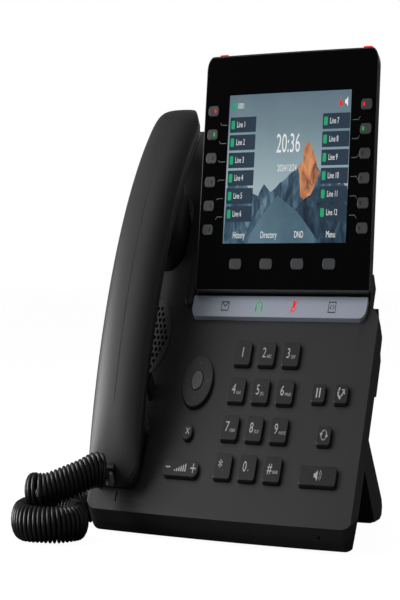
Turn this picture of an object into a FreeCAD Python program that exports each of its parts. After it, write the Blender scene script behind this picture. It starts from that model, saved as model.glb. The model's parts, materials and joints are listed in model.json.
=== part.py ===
import FreeCAD, Part
import math
import os
import Sketcher

# A desk telephone: a sloping keypad base with a cradled handset at its left, a tilted display
# above the keypad, a foot stand behind and a coiled cord at the left.
# Desk frame: x to the right, y to the back, z up, with the desk at z = 0. Millimetres, degrees.
# Most pieces are drawn in the face frame: x to the right, v up the slope of the keypad face,
# h out of the face. The display's pieces use a frame of the same kind on the front of its glass.

os.makedirs("parts", exist_ok=True)
Vector = FreeCAD.Vector
doc = FreeCAD.newDocument("desk_ip_phone")
pieces = {}

# ---------------------------------------------------------------- driving dimensions
# alias, value, note
DIMENSIONS = [
    ("face_angle", 45, "keypad face above the desk"),
    ("face_lift", 9.6, "height of the face's front edge above the desk"),
    ("base_w", 235.7, "width of the base"),
    ("rim_top", 7.2, "depth of the top shell's rim"),
    ("rim_all", 13, "depth of both shells at the rim"),
    ("wall", 2.2, "shell wall"),
    ("corner", 11, "plan radius of the front corners"),
    ("key_x", 23.15, "middle digit column"),
    ("key_v", 82.5, "first digit row"),
    ("pitch_x", 21.2, "digit column pitch"),
    ("pitch_v", 19.25, "digit row pitch"),
    ("key_w", 14.6, "digit key width"),
    ("key_l", 12.4, "digit key length up the face"),
    ("key_rise", 2, "key tops above the face"),
    ("key_gap", 0.35, "gap round each key"),
    ("key_r", 1.6, "digit key corner radius"),
    ("lip", 0.9, "retaining lip under each key"),
    ("fkey_w", 11.4, "function key width"),
    ("fkey_l", 9.3, "function key length"),
    ("skey_w", 30.4, "speaker key width"),
    ("ring_x", -34.5, "navigation ring centre"),
    ("ring_v", 67.1, "navigation ring centre up the face"),
    ("ring_r", 13.5, "navigation ring radius"),
    ("ok_r", 5.15, "middle button radius"),
    ("xkey_v", 40.95, "round key centre up the face"),
    ("xkey_r", 4.2, "round key radius"),
    ("rock_w", 31, "volume rocker width"),
    ("rock_l", 8.2, "volume rocker length"),
    ("rock_v", 22.3, "volume rocker centre up the face"),
    ("bar_x", 25.4, "status bar centre"),
    ("bar_w", 155.6, "status bar width"),
    ("bar_v", 101.6, "status bar lower edge"),
    ("bar_l", 11.3, "status bar length up the face"),
    ("bar_rise", 2, "status bar above the face"),
    ("disp_angle", 75, "display above the desk"),
    ("disp_x", 27.8, "display centre"),
    ("disp_y", 75.1, "glass lower edge from the base's front edge"),
    ("disp_z", 92.76, "glass lower edge above the desk"),
    ("disp_w", 155.6, "display width"),
    ("disp_l", 98.2, "display height along its plane"),
    ("disp_t", 7.2, "depth of the display's side walls"),
    ("disp_r", 6, "display corner radius"),
    ("glass_t", 1.2, "front panel thickness"),
    ("cover_t", 6.8, "depth of the rear cover behind the bezel"),
    ("lcd_w", 110.6, "visible picture width"),
    ("lcd_l", 62.2, "visible picture height"),
    ("lcd_v", 19.4, "picture lower edge"),
    ("lkey_x", 69.2, "line key columns from the display centre"),
    ("lkey_v", 74.65, "first line key"),
    ("lkey_p", 9.94, "line key pitch"),
    ("lkey_w", 9.8, "line key width"),
    ("lkey_l", 4.5, "line key length"),
    ("soft_p", 27.92, "soft key pitch"),
    ("soft_v", 10.8, "soft key height on the display"),
    ("soft_w", 11.2, "soft key width"),
    ("soft_l", 4.5, "soft key length"),
    ("lkey_rise", 0.9, "line key tops above the glass"),
    ("hinge_y", 6, "display hinge up the display plane"),
    ("hinge_back", 15, "display hinge behind the glass"),
    ("barrel_r", 5.4, "display hinge barrel radius"),
    ("pin_r", 2, "display hinge pin radius"),
    ("run", 0.06, "running clearance on pins"),
    ("set_x", -91.45, "handset centre"),
    ("set_w", 47, "handset width"),
    ("set_mid", 118, "handset arc centre up the face"),
    ("set_top", 30.2, "handset seam's highest point above the face"),
    ("set_arc", 232, "handset seam arc radius"),
    ("crown", 10, "handset crown above its seam"),
    ("belly", 9, "handset depth below its seam"),
    ("set_low", 9.6, "handset lower end"),
    ("set_high", 210, "handset upper end"),
    ("grille_v", 91.3, "loudspeaker grille centre"),
    ("grille_r", 23, "loudspeaker grille radius"),
    ("hole_r", 1.2, "grille hole radius"),
    ("hole_p", 3.7, "grille hole pitch"),
    ("stand_y", 84, "stand pivot from the front edge"),
    ("stand_z", 46, "stand pivot above the desk"),
    ("stand_w", 186, "stand width"),
    ("stand_pin_r", 2.5, "stand pin radius"),
    ("coil_r", 7.0, "radius of the coiled cord"),
    ("pad_t", 0.8, "rubber foot thickness"),
]


class Driven(float):
    """A number worked out from the sheet, kept with the expression that gives it."""

    def __new__(cls, value, text):
        number = super().__new__(cls, value)
        number.text = text
        return number

    @classmethod
    def join(cls, value, left, sign, right):
        texts = [side.text if isinstance(side, Driven) else repr(side) for side in (left, right)]
        return cls(value, "(%s) %s (%s)" % (texts[0], sign, texts[1]))

    def __add__(self, other):
        return Driven.join(float(self) + float(other), self, "+", other)

    def __sub__(self, other):
        return Driven.join(float(self) - float(other), self, "-", other)

    def __rsub__(self, other):
        return Driven.join(float(other) - float(self), other, "-", self)

    def __mul__(self, other):
        return Driven.join(float(self) * float(other), self, "*", other)

    def __truediv__(self, other):
        return Driven.join(float(self) / float(other), self, "/", other)

    def __neg__(self):
        return 0 - self

    __radd__ = __add__
    __rmul__ = __mul__


class Dimensions:
    """Holds one driven number for each alias of the sheet."""


dims = Dimensions()
sheet = doc.addObject("Spreadsheet::Sheet", "dims")
for row, (alias, value, note) in enumerate(DIMENSIONS, 1):
    sheet.set("A%d" % row, alias)
    sheet.set("B%d" % row, str(value))
    sheet.set("C%d" % row, note)
    sheet.setAlias("B%d" % row, alias)
    setattr(dims, alias, Driven(value, "dims." + alias))
doc.recompute()


def bind(ob, path, value):
    """Ties a property to the sheet when its value comes from there."""
    if isinstance(value, Driven):
        ob.setExpression(path, value.text)


# ---------------------------------------------------------------- frames
# origin x, y, z in the desk frame, then the turn about x
FACE = (0, 0, dims.face_lift, dims.face_angle)
DISPLAY = (dims.disp_x, dims.disp_y, dims.disp_z, dims.disp_angle)
DESK = (0, 0, 0, 0)
FRAME_PATHS = ("Placement.Base.x", "Placement.Base.y", "Placement.Base.z",
               "Placement.Rotation.Angle")

face_tilt = math.radians(dims.face_angle)
display_tilt = math.radians(dims.disp_angle)


def on_face(y, z):
    """A desk point (y, z) of the side view, as (v, h) in the face frame."""
    y = float(y)
    z = float(z) - float(dims.face_lift)
    return (y * math.cos(face_tilt) + z * math.sin(face_tilt),
            -y * math.sin(face_tilt) + z * math.cos(face_tilt))


def from_face(x, v, h):
    """A face point, as a vector in the desk frame."""
    return Vector(x, v * math.cos(face_tilt) - h * math.sin(face_tilt),
                  float(dims.face_lift) + v * math.sin(face_tilt) + h * math.cos(face_tilt))


# ---------------------------------------------------------------- shapes to draw in a sketch
# Each of these returns a function that draws the shape in the sketch it is given.
START, END, CENTRE = 1, 2, 3
ORIGIN = (-1, 1)
Constraint = Sketcher.Constraint
QUARTER = math.pi / 2


def segment(start, end):
    return Part.LineSegment(Vector(*start, 0), Vector(*end, 0))


def arc(x, y, radius, start, end):
    return Part.ArcOfCircle(Part.Circle(Vector(x, y, 0), Vector(0, 0, 1), radius), start, end)


def quarter(x, y, radius, start):
    return arc(x, y, radius, start, start + QUARTER)


def add_loop(sketch, curves):
    """Adds curves joined end to start into a closed loop; returns the first one's index."""
    first = sketch.GeometryCount
    count = len(curves)
    sketch.addGeometry(curves, False)
    sketch.addConstraint([Constraint("Coincident", first + i, END, first + (i + 1) % count, START)
                          for i in range(count)])
    return first


def bind_last(sketch, values):
    """Binds the sketch's last constraints to these values, in order."""
    start = sketch.ConstraintCount - len(values)
    for i, value in enumerate(values):
        bind(sketch, "Constraints[%d]" % (start + i), value)


def polygon(points):
    def draw(sketch):
        add_loop(sketch, [segment(point, points[(i + 1) % len(points)])
                          for i, point in enumerate(points)])
    return draw


def circle(x, y, radius):
    def draw(sketch):
        index = sketch.GeometryCount
        sketch.addGeometry(Part.Circle(Vector(x, y, 0), Vector(0, 0, 1), radius), False)
        sketch.addConstraint([Constraint("Radius", index, float(radius)),
                              Constraint("DistanceX", *ORIGIN, index, CENTRE, float(x)),
                              Constraint("DistanceY", *ORIGIN, index, CENTRE, float(y))])
        bind_last(sketch, (radius, x, y))
    return draw


def rounded(x, y, width, length, corner):
    """A rectangle about (x, y) with rounded corners."""
    left, low = x - width / 2, y - length / 2

    def draw(sketch):
        radius = float(min(corner, width / 2 - 0.01, length / 2 - 0.01))
        x0, x1 = float(left), float(x + width / 2)
        y0, y1 = float(low), float(y + length / 2)
        side = sketch.GeometryCount
        bend = side + 4
        sketch.addGeometry([
            segment((x0 + radius, y0), (x1 - radius, y0)),
            segment((x1, y0 + radius), (x1, y1 - radius)),
            segment((x1 - radius, y1), (x0 + radius, y1)),
            segment((x0, y1 - radius), (x0, y0 + radius)),
            quarter(x1 - radius, y0 + radius, radius, -QUARTER),
            quarter(x1 - radius, y1 - radius, radius, 0),
            quarter(x0 + radius, y1 - radius, radius, QUARTER),
            quarter(x0 + radius, y0 + radius, radius, 2 * QUARTER),
        ], False)
        rules = []
        for i in range(4):
            rules.append(Constraint("Tangent", side + i, END, bend + i, START))
            rules.append(Constraint("Tangent", bend + i, END, side + (i + 1) % 4, START))
        sketch.addConstraint(rules + [
            Constraint("Horizontal", side),
            Constraint("Vertical", side + 1),
            Constraint("Equal", bend, bend + 1),
            Constraint("Equal", bend + 1, bend + 2),
            Constraint("Radius", bend, radius),
            Constraint("DistanceX", *ORIGIN, side + 3, START, x0),
            Constraint("DistanceX", side + 3, START, side + 1, START, float(width)),
            Constraint("DistanceY", *ORIGIN, side, START, y0),
            Constraint("DistanceY", side, START, side + 2, START, float(length)),
        ])
        bind_last(sketch, (left, width, low, length))
    return draw


def slots(x, first_y, count, width):
    """A column of thin level slots."""
    pitch, height, corner = 5.0, 1.8, 0.8
    return [rounded(x, first_y + pitch * i, width, height, corner) for i in range(count)]


# ---------------------------------------------------------------- edge selectors
def level_at(height):
    """Picks the edges that lie at one height."""
    height = float(height)

    def picks(edge):
        heights = [vertex.Point.z for vertex in edge.Vertexes] + [edge.CenterOfMass.z]
        return all(abs(z - height) < 0.02 for z in heights)
    return picks


def upright_at(*spots):
    """Picks the upright edges that stand on any of the (x, y) spots."""
    def picks(edge):
        ends = [vertex.Point for vertex in edge.Vertexes]
        return len(ends) == 2 and any(
            all(abs(end.x - x) < 0.05 and abs(end.y - y) < 0.05 for end in ends)
            for x, y in spots)
    return picks


# ---------------------------------------------------------------- a piece and its features
class Piece:
    """A PartDesign body, built up feature by feature in one of the frames."""

    def __init__(self, name, frame=FACE, several=False):
        self.body = doc.addObject("PartDesign::Body", name)
        self.body.Label = name
        self.body.Placement = FreeCAD.Placement(
            Vector(*frame[:3]), FreeCAD.Rotation(Vector(1, 0, 0), frame[3]))
        for path, value in zip(FRAME_PATHS, frame):
            bind(self.body, path, value)
        if several:
            self.body.AllowCompound = True
        pieces[name] = self.body

    def sketch(self, name, plane, offset, shapes):
        """The normals are +z for XY, -y for XZ and +x for YZ; offset runs along them."""
        sketch = self.body.newObject("Sketcher::SketchObject", name)
        datum = [feature for feature in self.body.Origin.OriginFeatures
                 if feature.Role == plane + "_Plane"][0]
        sketch.AttachmentSupport = [(datum, "")]
        sketch.MapMode = "FlatFace"
        sketch.AttachmentOffset = FreeCAD.Placement(Vector(0, 0, offset), FreeCAD.Rotation())
        bind(sketch, "AttachmentOffset.Base.z", offset)
        for draw in shapes:
            draw(sketch)
        sketch.Visibility = False
        return sketch

    def extrude(self, kind, suffix, name, length, shapes,
                plane="XY", offset=0.0, flip=False, centred=False, feature=None):
        sketch = self.sketch(name, plane, offset, shapes)
        feature = feature or name.replace("_plan", "") + suffix
        solid = self.body.newObject("PartDesign::" + kind, feature)
        solid.Profile = sketch
        if length is not None:
            solid.Length = float(length)
        solid.Reversed = flip
        if centred:
            solid.SideType = "Symmetric"
        if length is None:
            solid.Type = "ThroughAll"
        bind(solid, "Length", length)
        self.body.Tip = solid

    def pad(self, name, length, *shapes, **options):
        """Adds material along the sketch's normal, or against it when flipped."""
        self.extrude("Pad", "_pad", name, length, shapes, **options)

    def cut(self, name, length, *shapes, **options):
        """Cuts against the sketch's normal, or along it when flipped; None cuts through."""
        self.extrude("Pocket", "_cut", name, length, shapes, **options)

    def soften(self, name, size, picks, kind="Fillet"):
        """Fillets or chamfers the edges that the selector picks."""
        doc.recompute()
        base = self.body.Tip
        edges = ["Edge%d" % i for i, edge in enumerate(base.Shape.Edges, 1) if picks(edge)]
        feature = self.body.newObject("PartDesign::" + kind, name)
        feature.Base = (base, edges)
        size_name = "Size" if kind == "Chamfer" else "Radius"
        setattr(feature, size_name, float(size))
        bind(feature, size_name, size)
        self.body.Tip = feature
        doc.recompute()
        # Guards against an edge treatment the modeller can't build: the edges then stay sharp.
        if feature.Shape.isNull() or not feature.isValid():
            self.body.removeObject(feature)
            doc.removeObject(feature.Name)
            self.body.Tip = base
            doc.recompute()

    def turn(self, kind, name, shape, angle):
        """Turns a section at the handset's middle about the axis of its seam arc."""
        sketch = self.sketch(name + "_sec", "XZ", -dims.set_mid, [shape])
        solid = self.body.newObject("PartDesign::" + kind, name)
        solid.Profile = sketch
        axis = self.body.newObject("PartDesign::Line", name + "_axis")
        axis.MapMode = "Deactivated"
        axis.Placement = FreeCAD.Placement(
            Vector(dims.set_x, dims.set_mid, dims.set_top - dims.set_arc),
            FreeCAD.Rotation(Vector(0, 0, 1), Vector(1, 0, 0)))
        solid.ReferenceAxis = (axis, [""])
        solid.Angle = angle
        solid.Midplane = True
        self.body.Tip = solid


# ---------------------------------------------------------------- layout shared by the pieces
HALF_BASE = float(dims.base_w) / 2
SEAM = -dims.rim_top                        # the shells' parting plane
UNDERSIDE = -dims.rim_all
BOTTOM_RIM = dims.rim_all - dims.rim_top
SHOULDER_R, SHOULDER_V = 20.0, 92.0         # rounded step in from the right edge to the neck
NECK_X, NECK_V = 102.3, 132.0               # neck behind the display: right edge, top edge
WING_X, WING_V = -51.2, 213.0               # tall wing at the left: right edge, top edge
WING_CORNER = 17.0
FRONT_START = 2.0                           # sections along the sides start this far in front
TUCK_LENGTH = 110.5                         # undercut of the right side, from that start

EAR_V, MOUTH_V = 151.0, 32.0                # centres of the handset's two ends up the face
HOOK_X, HOOK_V = -76.0, 61.5
TROUGH_V = 123.4
SCREWS = [(-108.0, 6.5), (-65.5, 14.0), (108.5, 14.0), (108.5, 84.0)]   # x, v

WING_BULGE = (-86.0, 134.0, 52.0, 146.0, 9.0)    # x, v, width, length, corner
MID_BULGE = (0.0, 62.0, 176.0, 66.0, 8.0)

LUGS = (("left", -82.0), ("right", 75.0))   # stand lugs: side, left face
LUG_W = 7.0

# sockets: name, centre x, width; (y, z) of their common origin in the desk frame
SOCKETS = (("pc", -30.0, 12.0), ("lan", -10.0, 12.0), ("dc", 12.0, 9.0), ("usb", 28.0, 13.0))
SOCKET_Y, SOCKET_Z = 69.0, 52.7

# the display hinge in the face frame
HINGE_V, HINGE_H = on_face(
    dims.disp_y + dims.hinge_y * math.cos(display_tilt) + dims.hinge_back * math.sin(display_tilt),
    dims.disp_z + dims.hinge_y * math.sin(display_tilt) - dims.hinge_back * math.cos(display_tilt))

# keys on the face: name, x, v, width, length
DIGITS = ["1", "2", "3", "4", "5", "6", "7", "8", "9", "star", "0", "hash"]
KEYS = [("key_" + digit, dims.key_x + dims.pitch_x * (i % 3 - 1),
         dims.key_v - dims.pitch_v * (i // 3), dims.key_w, dims.key_l)
        for i, digit in enumerate(DIGITS)]
KEYS += [
    ("key_pause", 73.0, 63.2, dims.fkey_w, dims.fkey_l),
    ("key_transfer", 92.1, 63.2, dims.fkey_w, dims.fkey_l),
    ("key_redial", 82.8, 42.4, dims.fkey_w, dims.fkey_l),
    ("key_speaker", 82.6, 22.9, dims.skey_w, dims.fkey_l),
]

# keys on the display: name, x, v, width, length, width added by the lip
DISPLAY_KEYS = [("line_key_%s%d" % (side, i + 1), x, dims.lkey_v - dims.lkey_p * i,
                 dims.lkey_w, dims.lkey_l, 1.0)
                for i in range(6) for side, x in (("l", -dims.lkey_x), ("r", dims.lkey_x))]
DISPLAY_KEYS += [("soft_key_%d" % (i + 1), dims.soft_p * (i - 1.5), dims.soft_v,
                  dims.soft_w, dims.soft_l, 1.2) for i in range(4)]


def base_outline(inset=0.0):
    """Plan of the base: a full-width lower part, a neck behind the display and the wing."""
    left, right, low = -HALF_BASE + inset, HALF_BASE - inset, inset
    neck, neck_top = NECK_X - inset, NECK_V - inset
    wing, wing_top = WING_X - inset, WING_V - inset
    radius, centre_x = SHOULDER_R - inset, HALF_BASE - SHOULDER_R
    sweep = math.acos((neck - centre_x) / radius)
    points = [(neck, SHOULDER_V + radius * math.sin(sweep)), (neck, neck_top), (wing, neck_top),
              (wing, wing_top), (left, wing_top), (left, low)]

    def draw(sketch):
        front = add_loop(sketch, [
            segment((left, low), (right, low)),
            segment((right, low), (right, SHOULDER_V)),
            arc(centre_x, SHOULDER_V, radius, 0, sweep),
        ] + [segment(points[i], points[i + 1]) for i in range(5)])
        sketch.addConstraint([Constraint("Horizontal", front), Constraint("Vertical", front + 1),
                              Constraint("DistanceX", front, START, front, END, right - left)])
        bind_last(sketch, [dims.base_w - 2 * inset])
    return draw


def round_base_corners(shell, front_name, wing_name):
    shell.soften(front_name, dims.corner, upright_at((-HALF_BASE, 0.0), (HALF_BASE, 0.0)))
    shell.soften(wing_name, WING_CORNER, upright_at((-HALF_BASE, WING_V), (WING_X, WING_V)))


def bar_full(grow, corner):
    return rounded(dims.bar_x, dims.bar_v + dims.bar_l / 2,
                   dims.bar_w + grow, dims.bar_l + grow, corner)


def bar_upper(grow):
    """Squares off the upper half of the status bar's plan."""
    return rounded(dims.bar_x, dims.bar_v + dims.bar_l * 0.75,
                   dims.bar_w + grow, dims.bar_l / 2 + grow, 0.5)


def socket_section(half_depth, low, high):
    """Side section of a socket; heights are from the sockets' origin."""
    corners = ((-half_depth, low), (half_depth, low), (half_depth, high), (-half_depth, high))
    return polygon([on_face(SOCKET_Y + y, SOCKET_Z + z) for y, z in corners])


def screw_circles(radius, screws=SCREWS):
    return [circle(x, v, radius) for x, v in screws]


# ---------------------------------------------------------------- top shell
RIDGE = (-57.0, 131.0, 8.0, 46.0, 3.6)      # x, v, width, length, corner, as for all plans
RIDGE_RISE = 3.4
KEY_HOLLOW = (24.9, 54.5, 174.8, 104.0, 12.0)
SPEAKER_HOLLOW_R = 21.6
EAR_BOSS = (dims.set_x, EAR_V, 47.0, 50.0, 15.0)
EAR_CUP = (dims.set_x, EAR_V, 42.0, 45.0, 14.0)
MOUTH_CUP = (dims.set_x, MOUTH_V, 42.0, 38.0, 13.0)
SHELF = (27.8, 127.0, 157.6, 27.2, 0.8)
TROUGH = (dims.disp_x, TROUGH_V, 130.6, 15.0, 0.8)
STRIPS = (("right", 1, 106.5), ("left", -1, 198.0))   # side, sign of x, length
# x (from the middle outwards), h
STRIP = [(113.4, 0.2), (118.6, 0.2), (118.6, -3.4), (117.3, -2.7), (115.6, -1.3)]
TOP_TUCK = [(118.6, -3.1), (117.75, -3.1), (115.53, -7.2), (115.4, -7.6), (118.6, -7.6)]
HINGE_EARS = (("left", -46.5), ("right", 93.4))       # side, left face
HINGE_EAR_W = 8.7
EAR_BORE_PAST = 0.4                         # how far the bores' cuts pass the ears
# v, h, with v from the hinge; the last four heights are from the hinge, the first two absolute
HINGE_EAR = [(HINGE_V - 5, -7.2), (HINGE_V + 5, -7.2),
             (HINGE_V + 5, HINGE_H + 0.5), (HINGE_V + 2.6, HINGE_H + 3.6),
             (HINGE_V - 2.6, HINGE_H + 3.6), (HINGE_V - 5, HINGE_H + 0.5)]
OPENING_DEPTH = 4.0
HOOK_OPENING = (HOOK_X, HOOK_V, 5.0, 9.0, 1.5)
HOOK_ROOM = (HOOK_X, HOOK_V, 5.4, 12.6, 1.2)
BAR_SEAT_GROW, BAR_SEAT_DEPTH = 0.6, 0.8
GRILLE_RING_W, GRILLE_RING_DEPTH = 0.7, 0.4
GRILLE_ROWS = 5                             # rows of holes on each side of the middle one
CORD_NOTCH = (-88.8, 7.0, 1.2, 5.0, 0.5)
MIC_HOLE = (87.8, -5.6, 1.1)                # x, h, radius


def draw_grille_holes(sketch):
    """Round holes on a triangular grid that fills a hexagon."""
    radius, pitch = float(dims.hole_r), float(dims.hole_p)
    steps = range(-GRILLE_ROWS, GRILLE_ROWS + 1)
    spots = [(dims.set_x + pitch * (i + j / 2.0), dims.grille_v + pitch * j * math.sqrt(3) / 2)
             for i in steps for j in steps if abs(i + j) <= GRILLE_ROWS]
    sketch.addGeometry([Part.Circle(Vector(x, v, 0), Vector(0, 0, 1), radius)
                        for x, v in spots], False)
    sketch.addConstraint([Constraint("Equal", 0, i) for i in range(1, len(spots))])
    sketch.addConstraint(Constraint("Radius", 0, radius))
    bind_last(sketch, [dims.hole_r])


def cut_key_openings(shell):
    gap = dims.key_gap
    openings = [(name, OPENING_DEPTH,
                 rounded(x, v, width + 2 * gap, length + 2 * gap, dims.key_r + gap))
                for name, x, v, width, length in KEYS]
    openings += [
        ("ring", OPENING_DEPTH, circle(dims.ring_x, dims.ring_v, dims.ring_r + gap)),
        ("x", OPENING_DEPTH, circle(dims.ring_x, dims.xkey_v, dims.xkey_r + gap)),
        ("rocker", OPENING_DEPTH,
         rounded(dims.ring_x, dims.rock_v, dims.rock_w + 2 * gap, dims.rock_l + 2 * gap, 4.0)),
        ("hook", 12.0, rounded(*HOOK_OPENING)),
    ]
    for name, depth, shape in openings:
        shell.cut("hole_" + name, depth, shape, feature="cut_" + name)


def make_top_shell():
    shell = Piece("top_shell")
    shell.pad("top_plan", dims.rim_top, base_outline(), flip=True)
    shell.pad("ridge_left", RIDGE_RISE, rounded(*RIDGE))
    round_base_corners(shell, "front_corners", "wing_corners")
    shell.soften("ridge_round", 2.0, level_at(RIDGE_RISE))
    # sloping strips along both sides of the face, and the undercut below the right one
    for side, sign, length in STRIPS:
        shell.cut("strip_" + side, length, polygon([(sign * x, h) for x, h in STRIP]),
                  plane="XZ", offset=FRONT_START)
    shell.cut("tuck", TUCK_LENGTH, polygon(TOP_TUCK), plane="XZ", offset=FRONT_START)
    # hollows under the keypad and the loudspeaker grille
    hollow_depth = dims.rim_top - dims.wall
    shell.cut("hollow_keys", hollow_depth, rounded(*KEY_HOLLOW), offset=SEAM, flip=True)
    shell.cut("hollow_speaker", hollow_depth,
              circle(dims.set_x, dims.grille_v, SPEAKER_HOLLOW_R), offset=SEAM, flip=True)
    # cradle cups
    shell.pad("ear_boss", 3.6, rounded(*EAR_BOSS), offset=SEAM, flip=True)
    shell.cut("ear_cup", 9.0, rounded(*EAR_CUP))
    shell.cut("mouth_cup", 4.6, rounded(*MOUTH_CUP))
    # shelf and trough below the display, with a hinge ear at each end of the trough
    shell.cut("shelf", 5.0, rounded(*SHELF))
    shell.cut("trough", None, rounded(*TROUGH))
    for side, x in HINGE_EARS:
        shell.pad("ear_" + side, HINGE_EAR_W, polygon(HINGE_EAR), plane="YZ", offset=x)
    for side, x in HINGE_EARS:
        shell.cut("ear_bore_" + side, HINGE_EAR_W + 2 * EAR_BORE_PAST,
                  circle(HINGE_V, HINGE_H, dims.pin_r + 0.01),
                  plane="YZ", offset=x - EAR_BORE_PAST, flip=True)
    cut_key_openings(shell)
    shell.cut("hook_room", 5.3, rounded(*HOOK_ROOM), offset=SEAM, flip=True)
    # seat of the status bar, grille and cord notch
    shell.cut("bar_seat", BAR_SEAT_DEPTH, bar_full(BAR_SEAT_GROW, 5.6))
    shell.cut("bar_seat_top", BAR_SEAT_DEPTH, bar_upper(BAR_SEAT_GROW))
    shell.cut("grille_ring", GRILLE_RING_DEPTH,
              circle(dims.set_x, dims.grille_v, dims.grille_r),
              circle(dims.set_x, dims.grille_v, dims.grille_r - GRILLE_RING_W))
    shell.cut("cord_notch", 1.0, rounded(*CORD_NOTCH))
    shell.cut("grille_holes", 4.0, draw_grille_holes)
    # microphone hole in the front wall
    shell.cut("mic_hole", 12.0, circle(*MIC_HOLE), plane="XZ", offset=0.5)
    # bosses for the two right-hand screws, and bores for all four
    shell.pad("boss_plan", dims.rim_top - 1, *screw_circles(3.6, SCREWS[2:]), offset=SEAM)
    shell.cut("boss_bores", 3.9, *screw_circles(1.41), offset=SEAM, flip=True)


# ---------------------------------------------------------------- bottom shell
FLOOR_T = 2
BULGE_OVERLAP = 0.5                         # bulges start this far inside the underside
EAR_ROOM = (dims.set_x, EAR_V, 48.0, 51.0, 15.4)
TROUGH_ROOM = (dims.disp_x, TROUGH_V, 131.2, 14.8, 0.8)
SOCKET_GAP = 0.4                            # a socket's opening is this much wider
# x, h
BOTTOM_TUCK = [(118.6, -7.0), (115.64, -7.0), (115.53, -7.2), (112.4, -13.0), (112.2, -13.4),
               (118.6, -13.4)]
# v, h
HOUSING = [(73.95, -12.6), (93.05, -32.1), (111.3, -31.5), (121.0, -13.6), (121.0, -12.6)]
HOUSING_ROOM = [(75.1, -11.0), (93.7, -29.6), (110.0, -29.6), (117.6, -15.4), (117.6, -7.0),
                (75.1, -7.0)]
# y, z from the stand pivot, in the desk's directions
LUG = [(-6.2, 9.5), (-6.2, 0), (-4.4, -4.4), (0, -6.2), (4.4, -4.4), (6.2, 0), (6.2, 9.0)]


def bulge_room(plan):
    """The inside of a bulge, one wall in from its sides."""
    x, v, width, length, corner = plan
    return rounded(x, v, width - 2 * dims.wall, length - 2 * dims.wall, corner - 2.0)


def outer_underside(edge):
    """Picks the underside's edges along the sides, the front and the wing's top."""
    centre = edge.CenterOfMass
    outer = abs(centre.x) > HALF_BASE - 9 or centre.y < 2 or centre.y > 200
    return level_at(UNDERSIDE)(edge) and outer


def make_bottom_shell():
    shell = Piece("bottom_shell")
    shell.pad("floor_plan", BOTTOM_RIM, base_outline(), offset=SEAM, flip=True)
    round_base_corners(shell, "floor_corners", "floor_wing")
    shell.soften("under_chamfer", 0.6, outer_underside, kind="Chamfer")
    bulge_top = UNDERSIDE + BULGE_OVERLAP
    shell.pad("wing_bulge", 13.5, rounded(*WING_BULGE), offset=bulge_top, flip=True)
    shell.pad("mid_bulge", 9.5, rounded(*MID_BULGE), offset=bulge_top, flip=True)
    shell.cut("under_tuck", TUCK_LENGTH, polygon(BOTTOM_TUCK), plane="XZ", offset=FRONT_START)
    shell.pad("housing", 214.0, polygon(HOUSING), plane="YZ", centred=True)
    # stand lugs under the housing
    lug = [on_face(dims.stand_y + y, dims.stand_z + z) for y, z in LUG]
    for side, x in LUGS:
        shell.pad("lug_" + side, LUG_W, polygon(lug), plane="YZ", offset=x)
    # inside
    rooms = [
        ("inside", BOTTOM_RIM - FLOOR_T, base_outline(inset=6.0)),
        ("inside_ear", BOTTOM_RIM - FLOOR_T, rounded(*EAR_ROOM)),
        ("inside_trough", BOTTOM_RIM - FLOOR_T, rounded(*TROUGH_ROOM)),
        ("inside_wing", 16.4, bulge_room(WING_BULGE)),
        ("inside_mid", 12.4, bulge_room(MID_BULGE)),
    ]
    for name, depth, shape in rooms:
        shell.cut(name, depth, shape, offset=SEAM)
    shell.cut("inside_housing", 198.0, polygon(HOUSING_ROOM), plane="YZ", centred=True)
    # screw bosses, clearance holes and head recesses
    shell.pad("screw_bosses", 4.75, *screw_circles(3.7), offset=UNDERSIDE + 1.0)
    shell.cut("screw_shafts", 8.0, *screw_circles(1.5), offset=UNDERSIDE - 0.5, flip=True)
    shell.cut("screw_heads", 3.2, *screw_circles(2.7), offset=UNDERSIDE - 0.5, flip=True)
    pivot_v, pivot_h = on_face(dims.stand_y, dims.stand_z)
    shell.cut("lug_bores", 400, circle(pivot_v, pivot_h, dims.stand_pin_r + dims.run),
              plane="YZ", centred=True)
    # cable socket openings in the housing's level underside
    for name, x, socket_width in SOCKETS:
        width = socket_width + SOCKET_GAP
        shell.cut("sock_" + name, width, socket_section(4.2, -2, 6.5),
                  plane="YZ", offset=x - width / 2, flip=True)
    # vents in the back of the wing bulge
    shell.cut("vents", 6.0, *slots(-86.0, 96.0, 7, 26.0), offset=-27.0, flip=True)


# ---------------------------------------------------------------- status bar and face keys
BAR_SUNK = 0.7                              # status bar below the face
KEY_DEPTH = 3.4                             # keys below the face, down to their lips
KEY_LIP_T = 1.1
HOOK_TOP, HOOK_DEPTH = 7.2, 5.0             # plunger above and below the face
HOOK_PLUNGER = (HOOK_X, HOOK_V, 4.4, 8.4, 1.3)
HOOK_LIP = (HOOK_X, HOOK_V, 4.4, 11.6, 1.0)
HOOK_LIP_T = 2.6


def make_status_bar():
    bar = Piece("status_bar")
    bar.pad("bar_plan", dims.bar_rise + BAR_SUNK, bar_full(0, 5.4), offset=-BAR_SUNK)
    bar.pad("bar_plan_top", dims.bar_rise + BAR_SUNK, bar_upper(0), offset=-BAR_SUNK)
    bar.soften("bar_edge", 0.5, level_at(dims.bar_rise))


def round_key(x, v, radius):
    return lambda grow: circle(x, v, radius + grow)


def long_key(x, v, width, length, corner):
    return lambda grow: rounded(x, v, width + 2 * grow, length + 2 * grow, corner)


def make_key(name, plan, top=dims.key_rise, edge=0.45):
    """A key with a softened top and a lip below; plan(grow) gives its shape."""
    key = Piece(name)
    key.pad(name + "_plan", top + KEY_DEPTH, plan(0), offset=-KEY_DEPTH)
    key.soften(name + "_edge", edge, level_at(top))
    key.pad(name + "_lip", KEY_LIP_T, plan(dims.lip), offset=-KEY_DEPTH, flip=True)
    return key


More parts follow.
